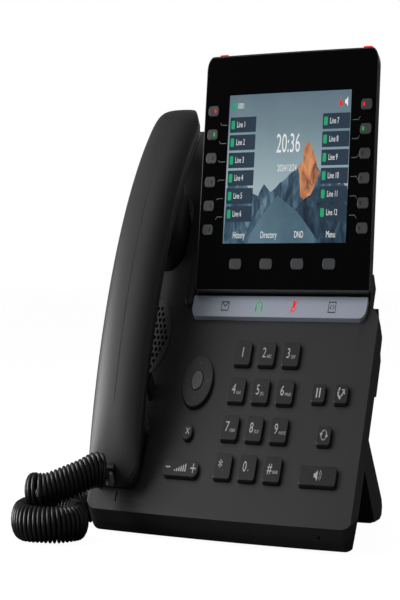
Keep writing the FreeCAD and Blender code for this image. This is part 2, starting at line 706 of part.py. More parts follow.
def make_face_keys():
    for name, x, v, width, length in KEYS:
        make_key(name, long_key(x, v, width, length, dims.key_r))
    ring = make_key("nav_ring", round_key(dims.ring_x, dims.ring_v, dims.ring_r))
    ring.cut("ring_bore", 20.0, circle(dims.ring_x, dims.ring_v, dims.ok_r + 0.35), offset=5.0)
    # room under the ring for the middle button's lip
    ring.cut("ring_under", 1.9, circle(dims.ring_x, dims.ring_v, dims.ok_r + 2.2),
             offset=-4.6, flip=True)
    make_key("key_ok", round_key(dims.ring_x, dims.ring_v, dims.ok_r),
             top=dims.key_rise + 0.5, edge=0.6)
    make_key("key_x", round_key(dims.ring_x, dims.xkey_v, dims.xkey_r), edge=0.5)
    make_key("volume_rocker",
             long_key(dims.ring_x, dims.rock_v, dims.rock_w, dims.rock_l, 3.6))


def make_hook_switch():
    hook = Piece("hook_switch")
    hook.pad("hook_plan", HOOK_TOP + HOOK_DEPTH, rounded(*HOOK_PLUNGER), offset=-HOOK_DEPTH)
    hook.soften("hook_edge", 0.8, level_at(HOOK_TOP))
    hook.pad("hook_lip", HOOK_LIP_T, rounded(*HOOK_LIP), offset=-HOOK_DEPTH - HOOK_LIP_T)


# ---------------------------------------------------------------- display head
GLASS_TRIM, SEAT_TRIM = 1.4, 1.3            # taken off the display's width and height
HOLLOW_TRIM, LID_TRIM = 4.4, 4.7
BEZEL_BACK = -dims.disp_t
COVER_BACK = BEZEL_BACK - dims.cover_t
BEZEL_WEB = 1.6                             # bezel left between the glass seat and the hollow
LID_INSIDE = 1.6                            # the cover's lid reaches this far into the bezel
LAMP_XS, LAMP_DEPTH = (-63.1, 67.5), -3.2   # lamps in the top edge: x, distance off the glass
COVER_PLAN = (0.0, 44.0, 124.0, 80.0, 7.0)
COVER_HOLLOW = (0.0, 47.0, 119.6, 66.0, 4.0)
COVER_OVERLAP = 0.3
BARREL_LENGTH, BORE_PAST = 128.0, 2.0
PIN_END, PIN_LENGTH = 73.6, 15.6            # hinge pins: outer end from the middle, length
DISPLAY_KEY_DEPTH = 3.0


def display_full(trim):
    return rounded(0.0, dims.disp_l / 2, dims.disp_w - trim, dims.disp_l - trim,
                   dims.disp_r - trim / 2)


def display_low(trim):
    """The lower half of the display, with tighter corners."""
    return rounded(0.0, dims.disp_l / 4 + trim / 4, dims.disp_w - trim,
                   dims.disp_l / 2 - trim / 2, 1.4 - trim / 2)


def picture(grow, corner):
    return rounded(0.0, dims.lcd_v + dims.lcd_l / 2, dims.lcd_w + grow, dims.lcd_l + grow, corner)


def lamps(width, depth, corner):
    return [rounded(x, LAMP_DEPTH, width, depth, corner) for x in LAMP_XS]


def cut_display_keys(piece, prefix, depth):
    for name, x, v, width, length, _ in DISPLAY_KEYS:
        piece.cut("%s_%s" % (prefix, name), depth,
                  rounded(x, v, width + 0.5, length + 0.5, 2.1), feature="%sc_%s" % (prefix, name))


def make_display_glass():
    glass = Piece("display_glass", DISPLAY)
    glass.pad("glass_plan", dims.glass_t, display_full(GLASS_TRIM), flip=True)
    glass.pad("glass_low", dims.glass_t, display_low(GLASS_TRIM), flip=True)
    cut_display_keys(glass, "g", 3.0)


def make_display_bezel():
    bezel = Piece("display_bezel", DISPLAY)
    bezel.pad("bezel_plan", dims.disp_t, display_full(0), flip=True)
    bezel.pad("bezel_low", dims.disp_t, display_low(0), flip=True)
    bezel.soften("bezel_back", 1.2, level_at(BEZEL_BACK))
    bezel.soften("bezel_front", 0.35, level_at(0.0))
    bezel.cut("glass_seat", dims.glass_t, display_full(SEAT_TRIM))
    bezel.cut("glass_seat_low", dims.glass_t, display_low(SEAT_TRIM))
    bezel.cut("bezel_window", None, picture(2.4, 0.6), offset=-1.0)
    bezel.cut("bezel_hollow", dims.disp_t - dims.glass_t - BEZEL_WEB, display_full(HOLLOW_TRIM),
              offset=BEZEL_BACK, flip=True)
    cut_display_keys(bezel, "b", 4.0)
    bezel.cut("lamp_slots", 3.0, *lamps(8.3, 3.4, 0.6),
              plane="XZ", offset=-dims.disp_l - 1, flip=True)


def make_display_rear_cover():
    cover = Piece("display_rear_cover", DISPLAY)
    lid_front = BEZEL_BACK + LID_INSIDE
    cover.pad("cover_lid", 2.0, display_full(LID_TRIM), offset=lid_front, flip=True)
    cover.pad("cover_back", dims.cover_t - COVER_OVERLAP, rounded(*COVER_PLAN),
              offset=BEZEL_BACK - COVER_OVERLAP, flip=True)
    cover.soften("cover_round", 3.0, level_at(COVER_BACK))
    cover.cut("cover_hollow", 6.4, rounded(*COVER_HOLLOW), offset=lid_front)
    cover.pad("barrel", BARREL_LENGTH, circle(dims.hinge_y, -dims.hinge_back, dims.barrel_r),
              plane="YZ", offset=-BARREL_LENGTH / 2)
    cover.cut("barrel_bore", BARREL_LENGTH + 2 * BORE_PAST,
              circle(dims.hinge_y, -dims.hinge_back, dims.pin_r + dims.run),
              plane="YZ", offset=-BARREL_LENGTH / 2 - BORE_PAST, flip=True)
    cover.cut("cover_vents", 4.0, *slots(0.0, 56.0, 5, 46.0), offset=COVER_BACK - 1, flip=True)


def make_lcd_panel():
    panel = Piece("lcd_panel", DISPLAY)
    panel.pad("lcd_plan", 2.4, picture(1.6, 0.5), offset=-2.65, flip=True)


def make_alert_lamps():
    piece = Piece("alert_lamps", DISPLAY)
    piece.pad("lamp_left", 1.9, *lamps(8.1, 3.2, 0.5),
              plane="XZ", offset=-dims.disp_l, feature="lamp_pads")


def make_display_keys():
    for name, x, v, width, length, lip in DISPLAY_KEYS:
        key = Piece(name, DISPLAY)
        key.pad(name + "_plan", dims.lkey_rise + DISPLAY_KEY_DEPTH,
                rounded(x, v, width, length, 1.9), offset=-DISPLAY_KEY_DEPTH)
        key.soften(name + "_edge", 0.4, level_at(dims.lkey_rise))
        key.pad(name + "_lip", 0.7, rounded(x, v, width + lip, length + 1.2, 1.9),
                offset=-DISPLAY_KEY_DEPTH, flip=True)


def make_hinge_pins():
    pins = Piece("hinge_pins", DISPLAY, several=True)
    for side, x in (("left", -PIN_END), ("right", PIN_END - PIN_LENGTH)):
        pins.pad("pin_" + side, PIN_LENGTH, circle(dims.hinge_y, -dims.hinge_back, dims.pin_r),
                 plane="YZ", offset=x)


# ---------------------------------------------------------------- handset
LOW_CORNER, HIGH_CORNER = 10.5, 23.2        # plan radii at the lower and upper ends
CROWN_EDGE = 2.2                            # height of the upper shell's straight sides
SWEEP, HOLLOW_SWEEP = 56.0, 32.0            # degrees turned about the seam arc's axis
LOWER_INSET, BELLY_INSET = 0.9, 5.0         # lower shell's sides in from the handset's
JACK = (dims.set_x, 12.0, 8.2, 10.0, 0.3)
EAR_PORT_RING, EAR_PORT_R = 6.0, 0.9


def handset_plan(inset):
    def draw(sketch):
        half = float(dims.set_w) / 2 - inset
        left, right = float(dims.set_x) - half, float(dims.set_x) + half
        low, high = float(dims.set_low) + inset, float(dims.set_high) - inset
        small, large = LOW_CORNER - inset, HIGH_CORNER - inset
        add_loop(sketch, [
            segment((left + small, low), (right - small, low)),
            quarter(right - small, low + small, small, -QUARTER),
            segment((right, low + small), (right, high - large)),
            quarter(right - large, high - large, large, 0),
            segment((right - large, high), (left + large, high)),
            quarter(left + large, high - large, large, QUARTER),
            segment((left, high - large), (left, low + small)),
            quarter(left + small, low + small, small, 2 * QUARTER),
        ])
    return draw


def crown_section(inset, base):
    """Arched section; base is the height of its flat side above the seam."""
    def draw(sketch):
        middle, seam = float(dims.set_x), float(dims.set_top)
        half = float(dims.set_w) / 2 - inset
        flat = seam + base
        edge = seam + CROWN_EDGE - inset * 0.4
        top = seam + float(dims.crown) - inset
        radius = (half * half + (top - edge) ** 2) / (2 * (top - edge))
        start = math.atan2(edge - (top - radius), half)
        add_loop(sketch, [
            segment((middle - half, flat), (middle + half, flat)),
            segment((middle + half, flat), (middle + half, edge)),
            arc(middle, top - radius, radius, start, math.pi - start),
            segment((middle - half, edge), (middle - half, flat)),
        ])
    return draw


def trim_to_plan(piece, name, inset=0.0):
    """Cuts away everything outside the handset's plan."""
    piece.cut(name, 120.0, rounded(dims.set_x, 108.0, 150.0, 300.0, 1.0), handset_plan(inset),
              offset=60.0)


def make_handset_upper_shell():
    shell = Piece("handset_upper_shell")
    shell.turn("Revolution", "upper_turn", crown_section(0.0, 0.0), SWEEP)
    trim_to_plan(shell, "upper_ends")
    shell.turn("Groove", "upper_hollow", crown_section(2.4, -3.0), HOLLOW_SWEEP)
    shell.cut("upper_jack", 8.2, rounded(*JACK), offset=3.0, flip=True)


def make_handset_lower_shell():
    shell = Piece("handset_lower_shell")
    top_half = dims.set_w / 2 - LOWER_INSET
    low_half = dims.set_w / 2 - BELLY_INSET
    low, top = dims.set_top - dims.belly, dims.set_top - 0.05
    section = [(dims.set_x - low_half, low), (dims.set_x + low_half, low),
               (dims.set_x + top_half, top), (dims.set_x - top_half, top)]
    shell.turn("Revolution", "lower_turn", polygon(section), SWEEP)
    trim_to_plan(shell, "lower_ends", LOWER_INSET)
    # trim whatever of the turned belly dips below the face near its lower end
    shell.cut("under_trim", 60.0, rounded(dims.set_x, -25.0, 150.0, 103.0, 0.5), offset=0.4)
    # ends that sit in the cradle cups, with pockets for the receiver and the microphone
    shell.pad("ear_bump", 28.4, rounded(dims.set_x, EAR_V, 36.0, 38.0, 12.0),
              offset=22.0, flip=True)
    shell.pad("mouth_bump", 9.6, rounded(dims.set_x, MOUTH_V, 36.0, 31.0, 10.0),
              offset=5.6, flip=True)
    shell.cut("receiver_pocket", 41.5, circle(dims.set_x, EAR_V, 13.2), offset=40.0)
    shell.cut("mic_pocket", 21.0, circle(dims.set_x, MOUTH_V, 5.2), offset=20.0)
    ports = [circle(dims.set_x + EAR_PORT_RING * math.cos(i * math.pi / 3),
                    EAR_V + EAR_PORT_RING * math.sin(i * math.pi / 3), EAR_PORT_R)
             for i in range(6)]
    shell.cut("ear_ports", 7.0, *ports, offset=-7.0, flip=True)
    shell.cut("lower_jack", 12.2, rounded(*JACK), offset=-1.0, flip=True)


def make_handset_capsules():
    receiver = Piece("handset_receiver")
    receiver.pad("rec_plan", 8.0, circle(dims.set_x, EAR_V, 13.0), offset=-1.3)
    microphone = Piece("handset_microphone")
    microphone.pad("hmic_plan", 4.0, circle(dims.set_x, MOUTH_V, 4.9), offset=-0.8)


# ---------------------------------------------------------------- inside the base
BOARD = (22.0, 54.0, 156.0, 92.0, 3.0)
KEY_MAT = (24.0, 51.0, 156.0, 87.0, 3.0)
SOCKET_WALL = 1.2                           # at each side of a socket's mouth


def make_main_board():
    board = Piece("main_board")
    board.pad("board_plan", 1.6, rounded(*BOARD), offset=-9.9)


def make_keypad_mat():
    mat = Piece("keypad_mat")
    mat.pad("mat_plan", 1.4, rounded(*KEY_MAT), offset=-8.2)


def make_loudspeaker():
    speaker = Piece("loudspeaker")
    speaker.pad("spk_plan", 4.0, circle(dims.set_x, dims.grille_v, 20.0),
                offset=-2.9, flip=True)
    speaker.pad("spk_magnet", 7.0, circle(dims.set_x, dims.grille_v, 11.0),
                offset=-6.8, flip=True)


def make_rear_sockets():
    sockets = Piece("rear_sockets", several=True)
    for name, x, width in SOCKETS:
        left = x - width / 2
        sockets.pad("sk_" + name, width, socket_section(4.0, 0.4, 6.8), plane="YZ", offset=left)
        sockets.cut("sm_" + name, width - 2 * SOCKET_WALL, socket_section(2.8, 0.0, 5.6),
                    plane="YZ", offset=left + SOCKET_WALL, flip=True)


def make_shell_screws():
    screws = Piece("shell_screws", several=True)
    for i, (x, v) in enumerate(SCREWS):
        screws.pad("screw_%d" % i, 1.8, circle(x, v, 2.6), offset=-12.2,
                   feature="screw_head_%d" % i)
        screws.pad("screw_s%d" % i, 7.2, circle(x, v, 1.4), offset=-10.6,
                   feature="screw_shank_%d" % i)


# ---------------------------------------------------------------- stand and feet, in the desk frame
# y, z
STAND = [
    (78.2, 47.4), (78.4, 43.4), (82.0, 39.4), (100.0, 24.2), (124.5, 4.0), (127.6, 0.8),
    (143.5, 0.8), (148.6, 2.0), (150.6, 5.2), (149.0, 8.4), (112.0, 34.6), (92.0, 48.4),
    (87.6, 51.2), (84.0, 52.0), (80.2, 51.0),
]
PANEL = [(96.0, 52.0), (140.0, 21.5), (137.6, 11.2), (94.0, 42.0)]
RIB = [(97.0, 44.6), (138.0, 15.6), (137.6, 11.0), (95.0, 41.0)]
STAND_SIDE = [(70.0, 60.0), (70.0, 30.0), (92.0, 26.0), (101.0, 60.0)]
STAND_LUG_ROOM = [(70.0, 60.0), (70.0, 38.0), (80.0, 37.0), (90.0, 39.0), (95.0, 60.0)]
FRONT_FOOT = [(17.6, 8.7), (17.6, 0.0), (24.6, 0.0), (25.4, 16.5)]
RIB_W, RIB_PITCH = 2.0, 30.0
SIDE_CUT_END, SIDE_CUT_W = 95.0, 6.5        # side cuts: outer end from the middle, width
LUG_GAP = 0.5
STAND_FOOT_Y = 136.0
STAND_PIN_END, STAND_PIN_LENGTH = 88.0, 20.0
FRONT_FOOT_END, FRONT_FOOT_W = 88.0, 28.0


def make_foot_stand():
    stand = Piece("foot_stand", DESK)
    stand.pad("stand_side", dims.stand_w, polygon(STAND), plane="YZ", centred=True,
              feature="stand_pad")
    # recess in the rear panel, with upright ribs across it
    stand.cut("panel_side", 150.0, polygon(PANEL), plane="YZ", centred=True,
              feature="panel_cut")
    for i in range(5):
        stand.pad("rib_%d" % i, RIB_W, polygon(RIB), plane="YZ",
                  offset=RIB_PITCH * (i - 2) - RIB_W / 2, feature="rib_pad_%d" % i)
    # upper corners cut back at both sides, and room for the lugs
    stand.cut("sides", SIDE_CUT_W, polygon(STAND_SIDE), plane="YZ",
              offset=-SIDE_CUT_END, flip=True, feature="sides_cut_left")
    stand.cut("sides2", SIDE_CUT_W, polygon(STAND_SIDE), plane="YZ",
              offset=SIDE_CUT_END - SIDE_CUT_W, flip=True, feature="sides_cut_right")
    for side, x in LUGS:
        stand.cut("room_" + side, LUG_W + 2 * LUG_GAP, polygon(STAND_LUG_ROOM),
                  plane="YZ", offset=x - LUG_GAP, flip=True)
    stand.cut("stand_bore", 200.0,
              circle(dims.stand_y, dims.stand_z, dims.stand_pin_r + 0.01),
              plane="YZ", offset=-100.0, flip=True)
    foot_slots = [rounded(x, STAND_FOOT_Y, 16.0, 3.4, 1.2) for x in (-48.0, 48.0)]
    stand.cut("foot_slots", 4.0, *foot_slots, offset=-1.0, flip=True)


def make_stand_pins():
    pins = Piece("stand_pins", DESK, several=True)
    for side, x in (("left", -STAND_PIN_END), ("right", STAND_PIN_END - STAND_PIN_LENGTH)):
        pins.pad("spin_" + side, STAND_PIN_LENGTH,
                 circle(dims.stand_y, dims.stand_z, dims.stand_pin_r), plane="YZ", offset=x)


def make_stand_feet():
    feet = Piece("stand_feet", DESK, several=True)
    for side, x in (("left", -74.0), ("right", 74.0)):
        feet.pad("sfoot_" + side, dims.pad_t - 0.02, rounded(x, STAND_FOOT_Y, 30.0, 11.0, 2.5))


def make_front_feet():
    feet = Piece("front_feet", DESK, several=True)
    for side, x in (("left", -FRONT_FOOT_END), ("right", FRONT_FOOT_END - FRONT_FOOT_W)):
        feet.pad("ffoot_" + side, FRONT_FOOT_W, polygon(FRONT_FOOT), plane="YZ", offset=x)


# ---------------------------------------------------------------- coiled cord
# x, y, z in the desk frame, between the handset's lower end and the base's left side
CORD = [
    (-98.1, -12.1, 25.4), (-109.8, -25.3, 22.2), (-127.2, -39.1, 18.5), (-136.0, -42.2, 18.2),
    (-143.0, -36.6, 17.0), (-141.0, -24.6, 13.5), (-130.5, -16.3, 8.5), (-115.8, -17.1, 7.1),
    (-104.9, -25.2, 7.1), (-101.5, -38.0, 7.1), (-108.9, -50.4, 7.1), (-121.1, -57.3, 7.1),
    (-135.0, -58.3, 7.1), (-146.9, -50.6, 7.1), (-153.4, -37.1, 7.1), (-154.8, -21.2, 7.1),
    (-148.0, -2.0, 7.1), (-138.0, 15.0, 7.1), (-131.0, 31.0, 7.1), (-123.0, 45.0, 7.6),
    (-112.0, 54.5, 11.5), (-104.8, 55.0, 18.6),
]
# x, v, h in the face frame
CORD_START = (float(dims.set_x), 7.4, 11.5)
CORD_ENDS = [(-103.0, 45.0, -20.5), (-103.0, 45.0, -13.7)]
CORD_STEPS, CORD_SIDES = 84, 14
CORD_TIP_R, CORD_TAPER = 1.8, 1.5           # radius at the handset, growth at each step


def make_coiled_cord():
    """The envelope of the coil: a many-sided tube lofted along a spline."""
    path = Part.BSplineCurve()
    path.interpolate([from_face(*CORD_START)] + [Vector(*point) for point in CORD]
                     + [from_face(*point) for point in CORD_ENDS])
    first, last = path.FirstParameter, path.LastParameter
    centres = [path.value(first + (last - first) * i / CORD_STEPS)
               for i in range(CORD_STEPS + 1)]
    across = Vector(1, 0, 0)
    rings = []
    for i, centre in enumerate(centres):
        along = (centres[min(i + 1, CORD_STEPS)] - centres[max(i - 1, 0)]).normalize()
        # carried on from ring to ring, so that the tube doesn't twist
        across = (across - along * across.dot(along)).normalize()
        other = along.cross(across)
        radius = min(float(dims.coil_r), CORD_TIP_R + CORD_TAPER * i)
        corners = []
        for j in range(CORD_SIDES):
            angle = 2 * math.pi * j / CORD_SIDES
            corners.append(centre + (across * math.cos(angle) + other * math.sin(angle)) * radius)
        rings.append(Part.makePolygon(corners + [corners[0]]))
    cord = doc.addObject("Part::Feature", "coiled_cord")
    cord.Shape = Part.makeLoft(rings, True, True)
    cord.Label = "coiled_cord"
    pieces["coiled_cord"] = cord


# ---------------------------------------------------------------- build, check and export
make_top_shell()
make_bottom_shell()
make_status_bar()
make_face_keys()
make_hook_switch()
make_display_glass()
make_display_bezel()
make_display_rear_cover()
make_lcd_panel()
make_alert_lamps()
make_display_keys()
make_hinge_pins()
make_handset_upper_shell()
make_handset_lower_shell()
make_handset_capsules()
make_main_board()
make_keypad_mat()
make_loudspeaker()
make_rear_sockets()
make_shell_screws()
make_foot_stand()
make_stand_pins()
make_stand_feet()
make_front_feet()
make_coiled_cord()

doc.recompute()
bad = [(ob.Label, ob.State) for ob in doc.Objects
       if any(word in ("Invalid", "Error") for word in ob.State)]
for name, ob in pieces.items():
    if ob.Shape.isNull() or not ob.Shape.isValid() or ob.Shape.Volume <= 0:
        bad.append((name, "shape"))
if bad:
    raise RuntimeError("bad objects: %s" % bad[:12])
for name, ob in pieces.items():
    ob.Shape.exportStep("parts/%s.step" % name)
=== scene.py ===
import bpy
import bisect
import bmesh
import json
import math
from mathutils import Vector, Matrix

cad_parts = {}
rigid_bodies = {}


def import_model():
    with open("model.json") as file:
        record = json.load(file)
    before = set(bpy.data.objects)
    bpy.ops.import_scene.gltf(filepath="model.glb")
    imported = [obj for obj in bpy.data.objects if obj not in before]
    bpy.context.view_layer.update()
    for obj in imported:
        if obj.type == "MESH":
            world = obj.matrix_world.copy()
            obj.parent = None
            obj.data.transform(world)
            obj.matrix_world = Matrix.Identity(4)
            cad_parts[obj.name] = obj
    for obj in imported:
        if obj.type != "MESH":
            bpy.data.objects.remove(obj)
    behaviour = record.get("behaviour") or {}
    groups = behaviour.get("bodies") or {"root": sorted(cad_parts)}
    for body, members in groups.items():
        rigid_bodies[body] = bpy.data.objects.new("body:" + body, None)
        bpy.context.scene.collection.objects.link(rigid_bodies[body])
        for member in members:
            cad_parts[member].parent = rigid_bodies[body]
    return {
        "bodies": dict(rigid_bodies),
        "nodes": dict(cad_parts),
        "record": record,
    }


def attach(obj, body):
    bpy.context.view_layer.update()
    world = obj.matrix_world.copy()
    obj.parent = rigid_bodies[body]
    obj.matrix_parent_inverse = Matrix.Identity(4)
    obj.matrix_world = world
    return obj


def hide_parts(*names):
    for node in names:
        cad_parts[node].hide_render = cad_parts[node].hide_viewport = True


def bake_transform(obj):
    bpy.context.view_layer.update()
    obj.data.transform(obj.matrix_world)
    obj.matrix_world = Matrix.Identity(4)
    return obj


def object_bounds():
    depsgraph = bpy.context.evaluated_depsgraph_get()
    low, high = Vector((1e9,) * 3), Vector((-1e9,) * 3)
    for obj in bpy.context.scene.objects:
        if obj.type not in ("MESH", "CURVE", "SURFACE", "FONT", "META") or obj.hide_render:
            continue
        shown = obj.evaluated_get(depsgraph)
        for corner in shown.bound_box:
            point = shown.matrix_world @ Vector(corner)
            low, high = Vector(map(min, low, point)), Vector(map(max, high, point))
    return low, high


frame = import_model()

cad_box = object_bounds()
N = frame["nodes"]
S = math.sqrt(0.5)
sc = bpy.context.scene

# ------------------------------------------------------------------ frames of the sloping face and of the display (mm in, metres out)
FO, FU, FN = Vector((0, 0, 9.6)), Vector((0, S, S)), Vector((0, -S, S))
_a = math.radians(75)
DO, DU, DN = Vector((27.8, 75.1, 92.76)), Vector((0, math.cos(_a), math.sin(_a))), Vector((0, -math.sin(_a), math.cos(_a)))
XX = Vector((1, 0, 0))


def face(x, v, h=0.0):
    return (FO + XX * x + FU * v + FN * h) / 1000


def disp(x, y, z=0.0):
    return (DO + XX * x + DU * y + DN * z) / 1000


def world(x, y, z):
    return Vector((x, y, z)) / 1000


# ------------------------------------------------------------------ materials
def nodes_of(name):
    m = bpy.data.materials.new(name)
    m.use_nodes = True
    nt = m.node_tree
    b = nt.nodes["Principled BSDF"]
    return m, nt, b


def plastic(name, col, rough, var=0.16, scale=60.0, grain=2600.0, bump=0.05, spec=0.5, coat=0.0, wear=0.5, rvar=0.06, metal=0.0, lift=None):
    """Moulded plastic: slow colour drift, smudged roughness, fine eroded grain, edges rubbed a little lighter."""
    m, nt, b = nodes_of(name)
    L = nt.links.new
    tc = nt.nodes.new("ShaderNodeTexCoord")
    n1 = nt.nodes.new("ShaderNodeTexNoise")
    n1.inputs["Scale"].default_value = scale
    n1.inputs["Detail"].default_value = 3
    L(tc.outputs["Object"], n1.inputs["Vector"])
    n2 = nt.nodes.new("ShaderNodeTexNoise")
    n2.inputs["Scale"].default_value = grain
    n2.inputs["Detail"].default_value = 2
    L(tc.outputs["Object"], n2.inputs["Vector"])
    r = nt.nodes.new("ShaderNodeValToRGB")
    lo = [c * (1 - var) for c in col]
    hi = [min(1, c * (1 + var)) for c in col]
    r.color_ramp.elements[0].color = (*lo, 1)
    r.color_ramp.elements[1].color = (*hi, 1)
    r.color_ramp.elements[0].position = 0.3
    r.color_ramp.elements[1].position = 0.7
    L(n1.outputs["Fac"], r.inputs["Fac"])
    out = r.outputs["Color"]
    if wear:
        g = nt.nodes.new("ShaderNodeNewGeometry")
        pr = nt.nodes.new("ShaderNodeValToRGB")
        pr.color_ramp.elements[0].position = 0.505
        pr.color_ramp.elements[1].position = 0.60
        L(g.outputs["Pointiness"], pr.inputs["Fac"])
        mu = nt.nodes.new("ShaderNodeMath")
        mu.operation = "MULTIPLY"
        mu.inputs[1].default_value = wear
        L(pr.outputs["Color"], mu.inputs[0])
        mx = nt.nodes.new("ShaderNodeMixRGB")
        w = lift or [min(1, c * 1.7 + 0.01) for c in col]
        mx.inputs["Color2"].default_value = (*w, 1)
        L(mu.outputs[0], mx.inputs["Fac"])
        L(out, mx.inputs["Color1"])
        out = mx.outputs["Color"]
    L(out, b.inputs["Base Color"])
    mr = nt.nodes.new("ShaderNodeMapRange")
    mr.inputs["To Min"].default_value = max(0.02, rough - rvar)
    mr.inputs["To Max"].default_value = min(1, rough + rvar)
    L(n1.outputs["Fac"], mr.inputs["Value"])
    L(mr.outputs["Result"], b.inputs["Roughness"])
    b.inputs["Metallic"].default_value = metal
    b.inputs["Specular IOR Level"].default_value = spec
    b.inputs["Coat Weight"].default_value = coat
    b.inputs["Coat Roughness"].default_value = 0.08
    if bump:
        bp = nt.nodes.new("ShaderNodeBump")
        bp.inputs["Strength"].default_value = bump
        bp.inputs["Distance"].default_value = 0.0002
        L(n2.outputs["Fac"], bp.inputs["Height"])
        L(bp.outputs["Normal"], b.inputs["Normal"])
    return m


def glow(name, col, strength=1.0, var=0.06, scale=300.0, rough=0.5):
    """Lit or printed colour with a faint mottling."""
    m, nt, b = nodes_of(name)
    L = nt.links.new
    tc = nt.nodes.new("ShaderNodeTexCoord")
    n1 = nt.nodes.new("ShaderNodeTexNoise")
    n1.inputs["Scale"].default_value = scale
    L(tc.outputs["Object"], n1.inputs["Vector"])
    r = nt.nodes.new("ShaderNodeValToRGB")
    r.color_ramp.elements[0].color = (*[c * (1 - var) for c in col], 1)
    r.color_ramp.elements[1].color = (*[min(1, c * (1 + var)) for c in col], 1)
    L(n1.outputs["Fac"], r.inputs["Fac"])
    if strength > 0:
        b.inputs["Base Color"].default_value = (0.01, 0.01, 0.01, 1)
        b.inputs["Specular IOR Level"].default_value = 0.1
        L(r.outputs["Color"], b.inputs["Emission Color"])
        b.inputs["Emission Strength"].default_value = strength
    else:
        L(r.outputs["Color"], b.inputs["Base Color"])
    b.inputs["Roughness"].default_value = rough
    return m


M = {}
M["shell"] = plastic("face_plastic", (0.027, 0.027, 0.028), 0.50, var=0.10, scale=25, grain=2600, bump=0.10, wear=0.5)
M["under"] = plastic("under_plastic", (0.020, 0.020, 0.021), 0.52, var=0.12, scale=25, grain=2200, bump=0.12)
M["keys"] = plastic("key_plastic", (0.026, 0.026, 0.027), 0.42, var=0.10, scale=90, grain=3000, bump=0.05, wear=0.6, lift=(0.06, 0.06, 0.062))
M["gloss"] = plastic("handset_plastic", (0.032, 0.032, 0.033), 0.46, var=0.12, scale=18, grain=3200, bump=0.04, coat=0.0, wear=0.0)
M["hunder"] = plastic("handset_under_plastic", (0.030, 0.030, 0.031), 0.45, var=0.1, scale=30, bump=0.08, wear=0.0)
M["seam"] = plastic("seam_plastic", (0.075, 0.077, 0.08), 0.35, var=0.1, scale=40, bump=0.03, wear=0.0)
M["rim"] = plastic("rim_plastic", (0.045, 0.047, 0.05), 0.36, var=0.08, scale=40, bump=0.05, wear=0.4)
M["linekeys"] = plastic("line_key_plastic", (0.062, 0.064, 0.068), 0.42, var=0.08, scale=120, bump=0.04, wear=0.5)
M["rubber"] = plastic("foot_rubber", (0.012, 0.012, 0.012), 0.8, var=0.25, scale=150, grain=1500, bump=0.25, wear=0.0)
M["cord"] = plastic("cord_jacket", (0.0105, 0.0105, 0.011), 0.38, var=0.2, scale=60, grain=2500, bump=0.06, wear=0.0)
M["lamp"] = plastic("lamp_milk", (0.22, 0.225, 0.23), 0.35, var=0.06, scale=100, bump=0.02, wear=0.0)
M["steel"] = plastic("zinc_steel", (0.45, 0.45, 0.44), 0.35, var=0.12, scale=200, bump=0.05, metal=1.0, wear=0.0)
M["board"] = plastic("solder_mask", (0.015, 0.09, 0.04), 0.35, var=0.3, scale=300, bump=0.1)
M["mat"] = plastic("silicone_mat", (0.28, 0.28, 0.28), 0.6, var=0.08, scale=80, bump=0.05)
M["speaker"] = plastic("speaker_paper", (0.03, 0.03, 0.032), 0.75, var=0.25, scale=400, bump=0.3)
M["socket"] = plastic("socket_plastic", (0.015, 0.015, 0.015), 0.45, var=0.15, scale=100, bump=0.05)
M["print"] = glow("key_print", (0.62, 0.63, 0.64), 0.0, 0.08, 900, 0.6)
M["printdim"] = glow("leader_print", (0.15, 0.155, 0.16), 0.0, 0.08, 900, 0.6)
M["icondim"] = glow("icon_print", (0.035, 0.037, 0.04), 0.0, 0.08, 900, 0.6)
M["red"] = glow("red_light", (0.90, 0.02, 0.012), 0.95, 0.15, 500)
M["green"] = glow("green_light", (0.03, 0.55, 0.12), 0.7, 0.15, 500)
M["white"] = glow("screen_white", (0.85, 0.87, 0.88), 0.9, 0.04, 300)
M["tile"] = glow("screen_tile", (0.022, 0.045, 0.075), 0.75, 0.25, 60)
M["sgreen"] = glow("screen_green", (0.02, 0.38, 0.16), 0.9, 0.15, 300)
# near-black: painted shade in the handset's plug notch, and the real dark marks on the lower line keys
M["black"] = plastic("notch_black", (0.004, 0.004, 0.004), 0.6, var=0.3, scale=90, bump=0.05, wear=0.0)


def brushed_ok():
    m, nt, b = nodes_of("ok_metal")
    L = nt.links.new
    tc = nt.nodes.new("ShaderNodeTexCoord")
    n = nt.nodes.new("ShaderNodeTexNoise")
    n.inputs["Scale"].default_value = 700
    L(tc.outputs["Object"], n.inputs["Vector"])
    mr = nt.nodes.new("ShaderNodeMapRange")
    mr.inputs["To Min"].default_value = 0.25
    mr.inputs["To Max"].default_value = 0.45
    L(n.outputs["Fac"], mr.inputs["Value"])
    L(mr.outputs["Result"], b.inputs["Roughness"])
    r = nt.nodes.new("ShaderNodeValToRGB")
    r.color_ramp.elements[0].color = (0.10, 0.10, 0.105, 1)
    r.color_ramp.elements[1].color = (0.17, 0.17, 0.175, 1)
    L(n.outputs["Fac"], r.inputs["Fac"])
    L(r.outputs["Color"], b.inputs["Base Color"])
    b.inputs["Metallic"].default_value = 0.7
    return m


M["ok"] = brushed_ok()


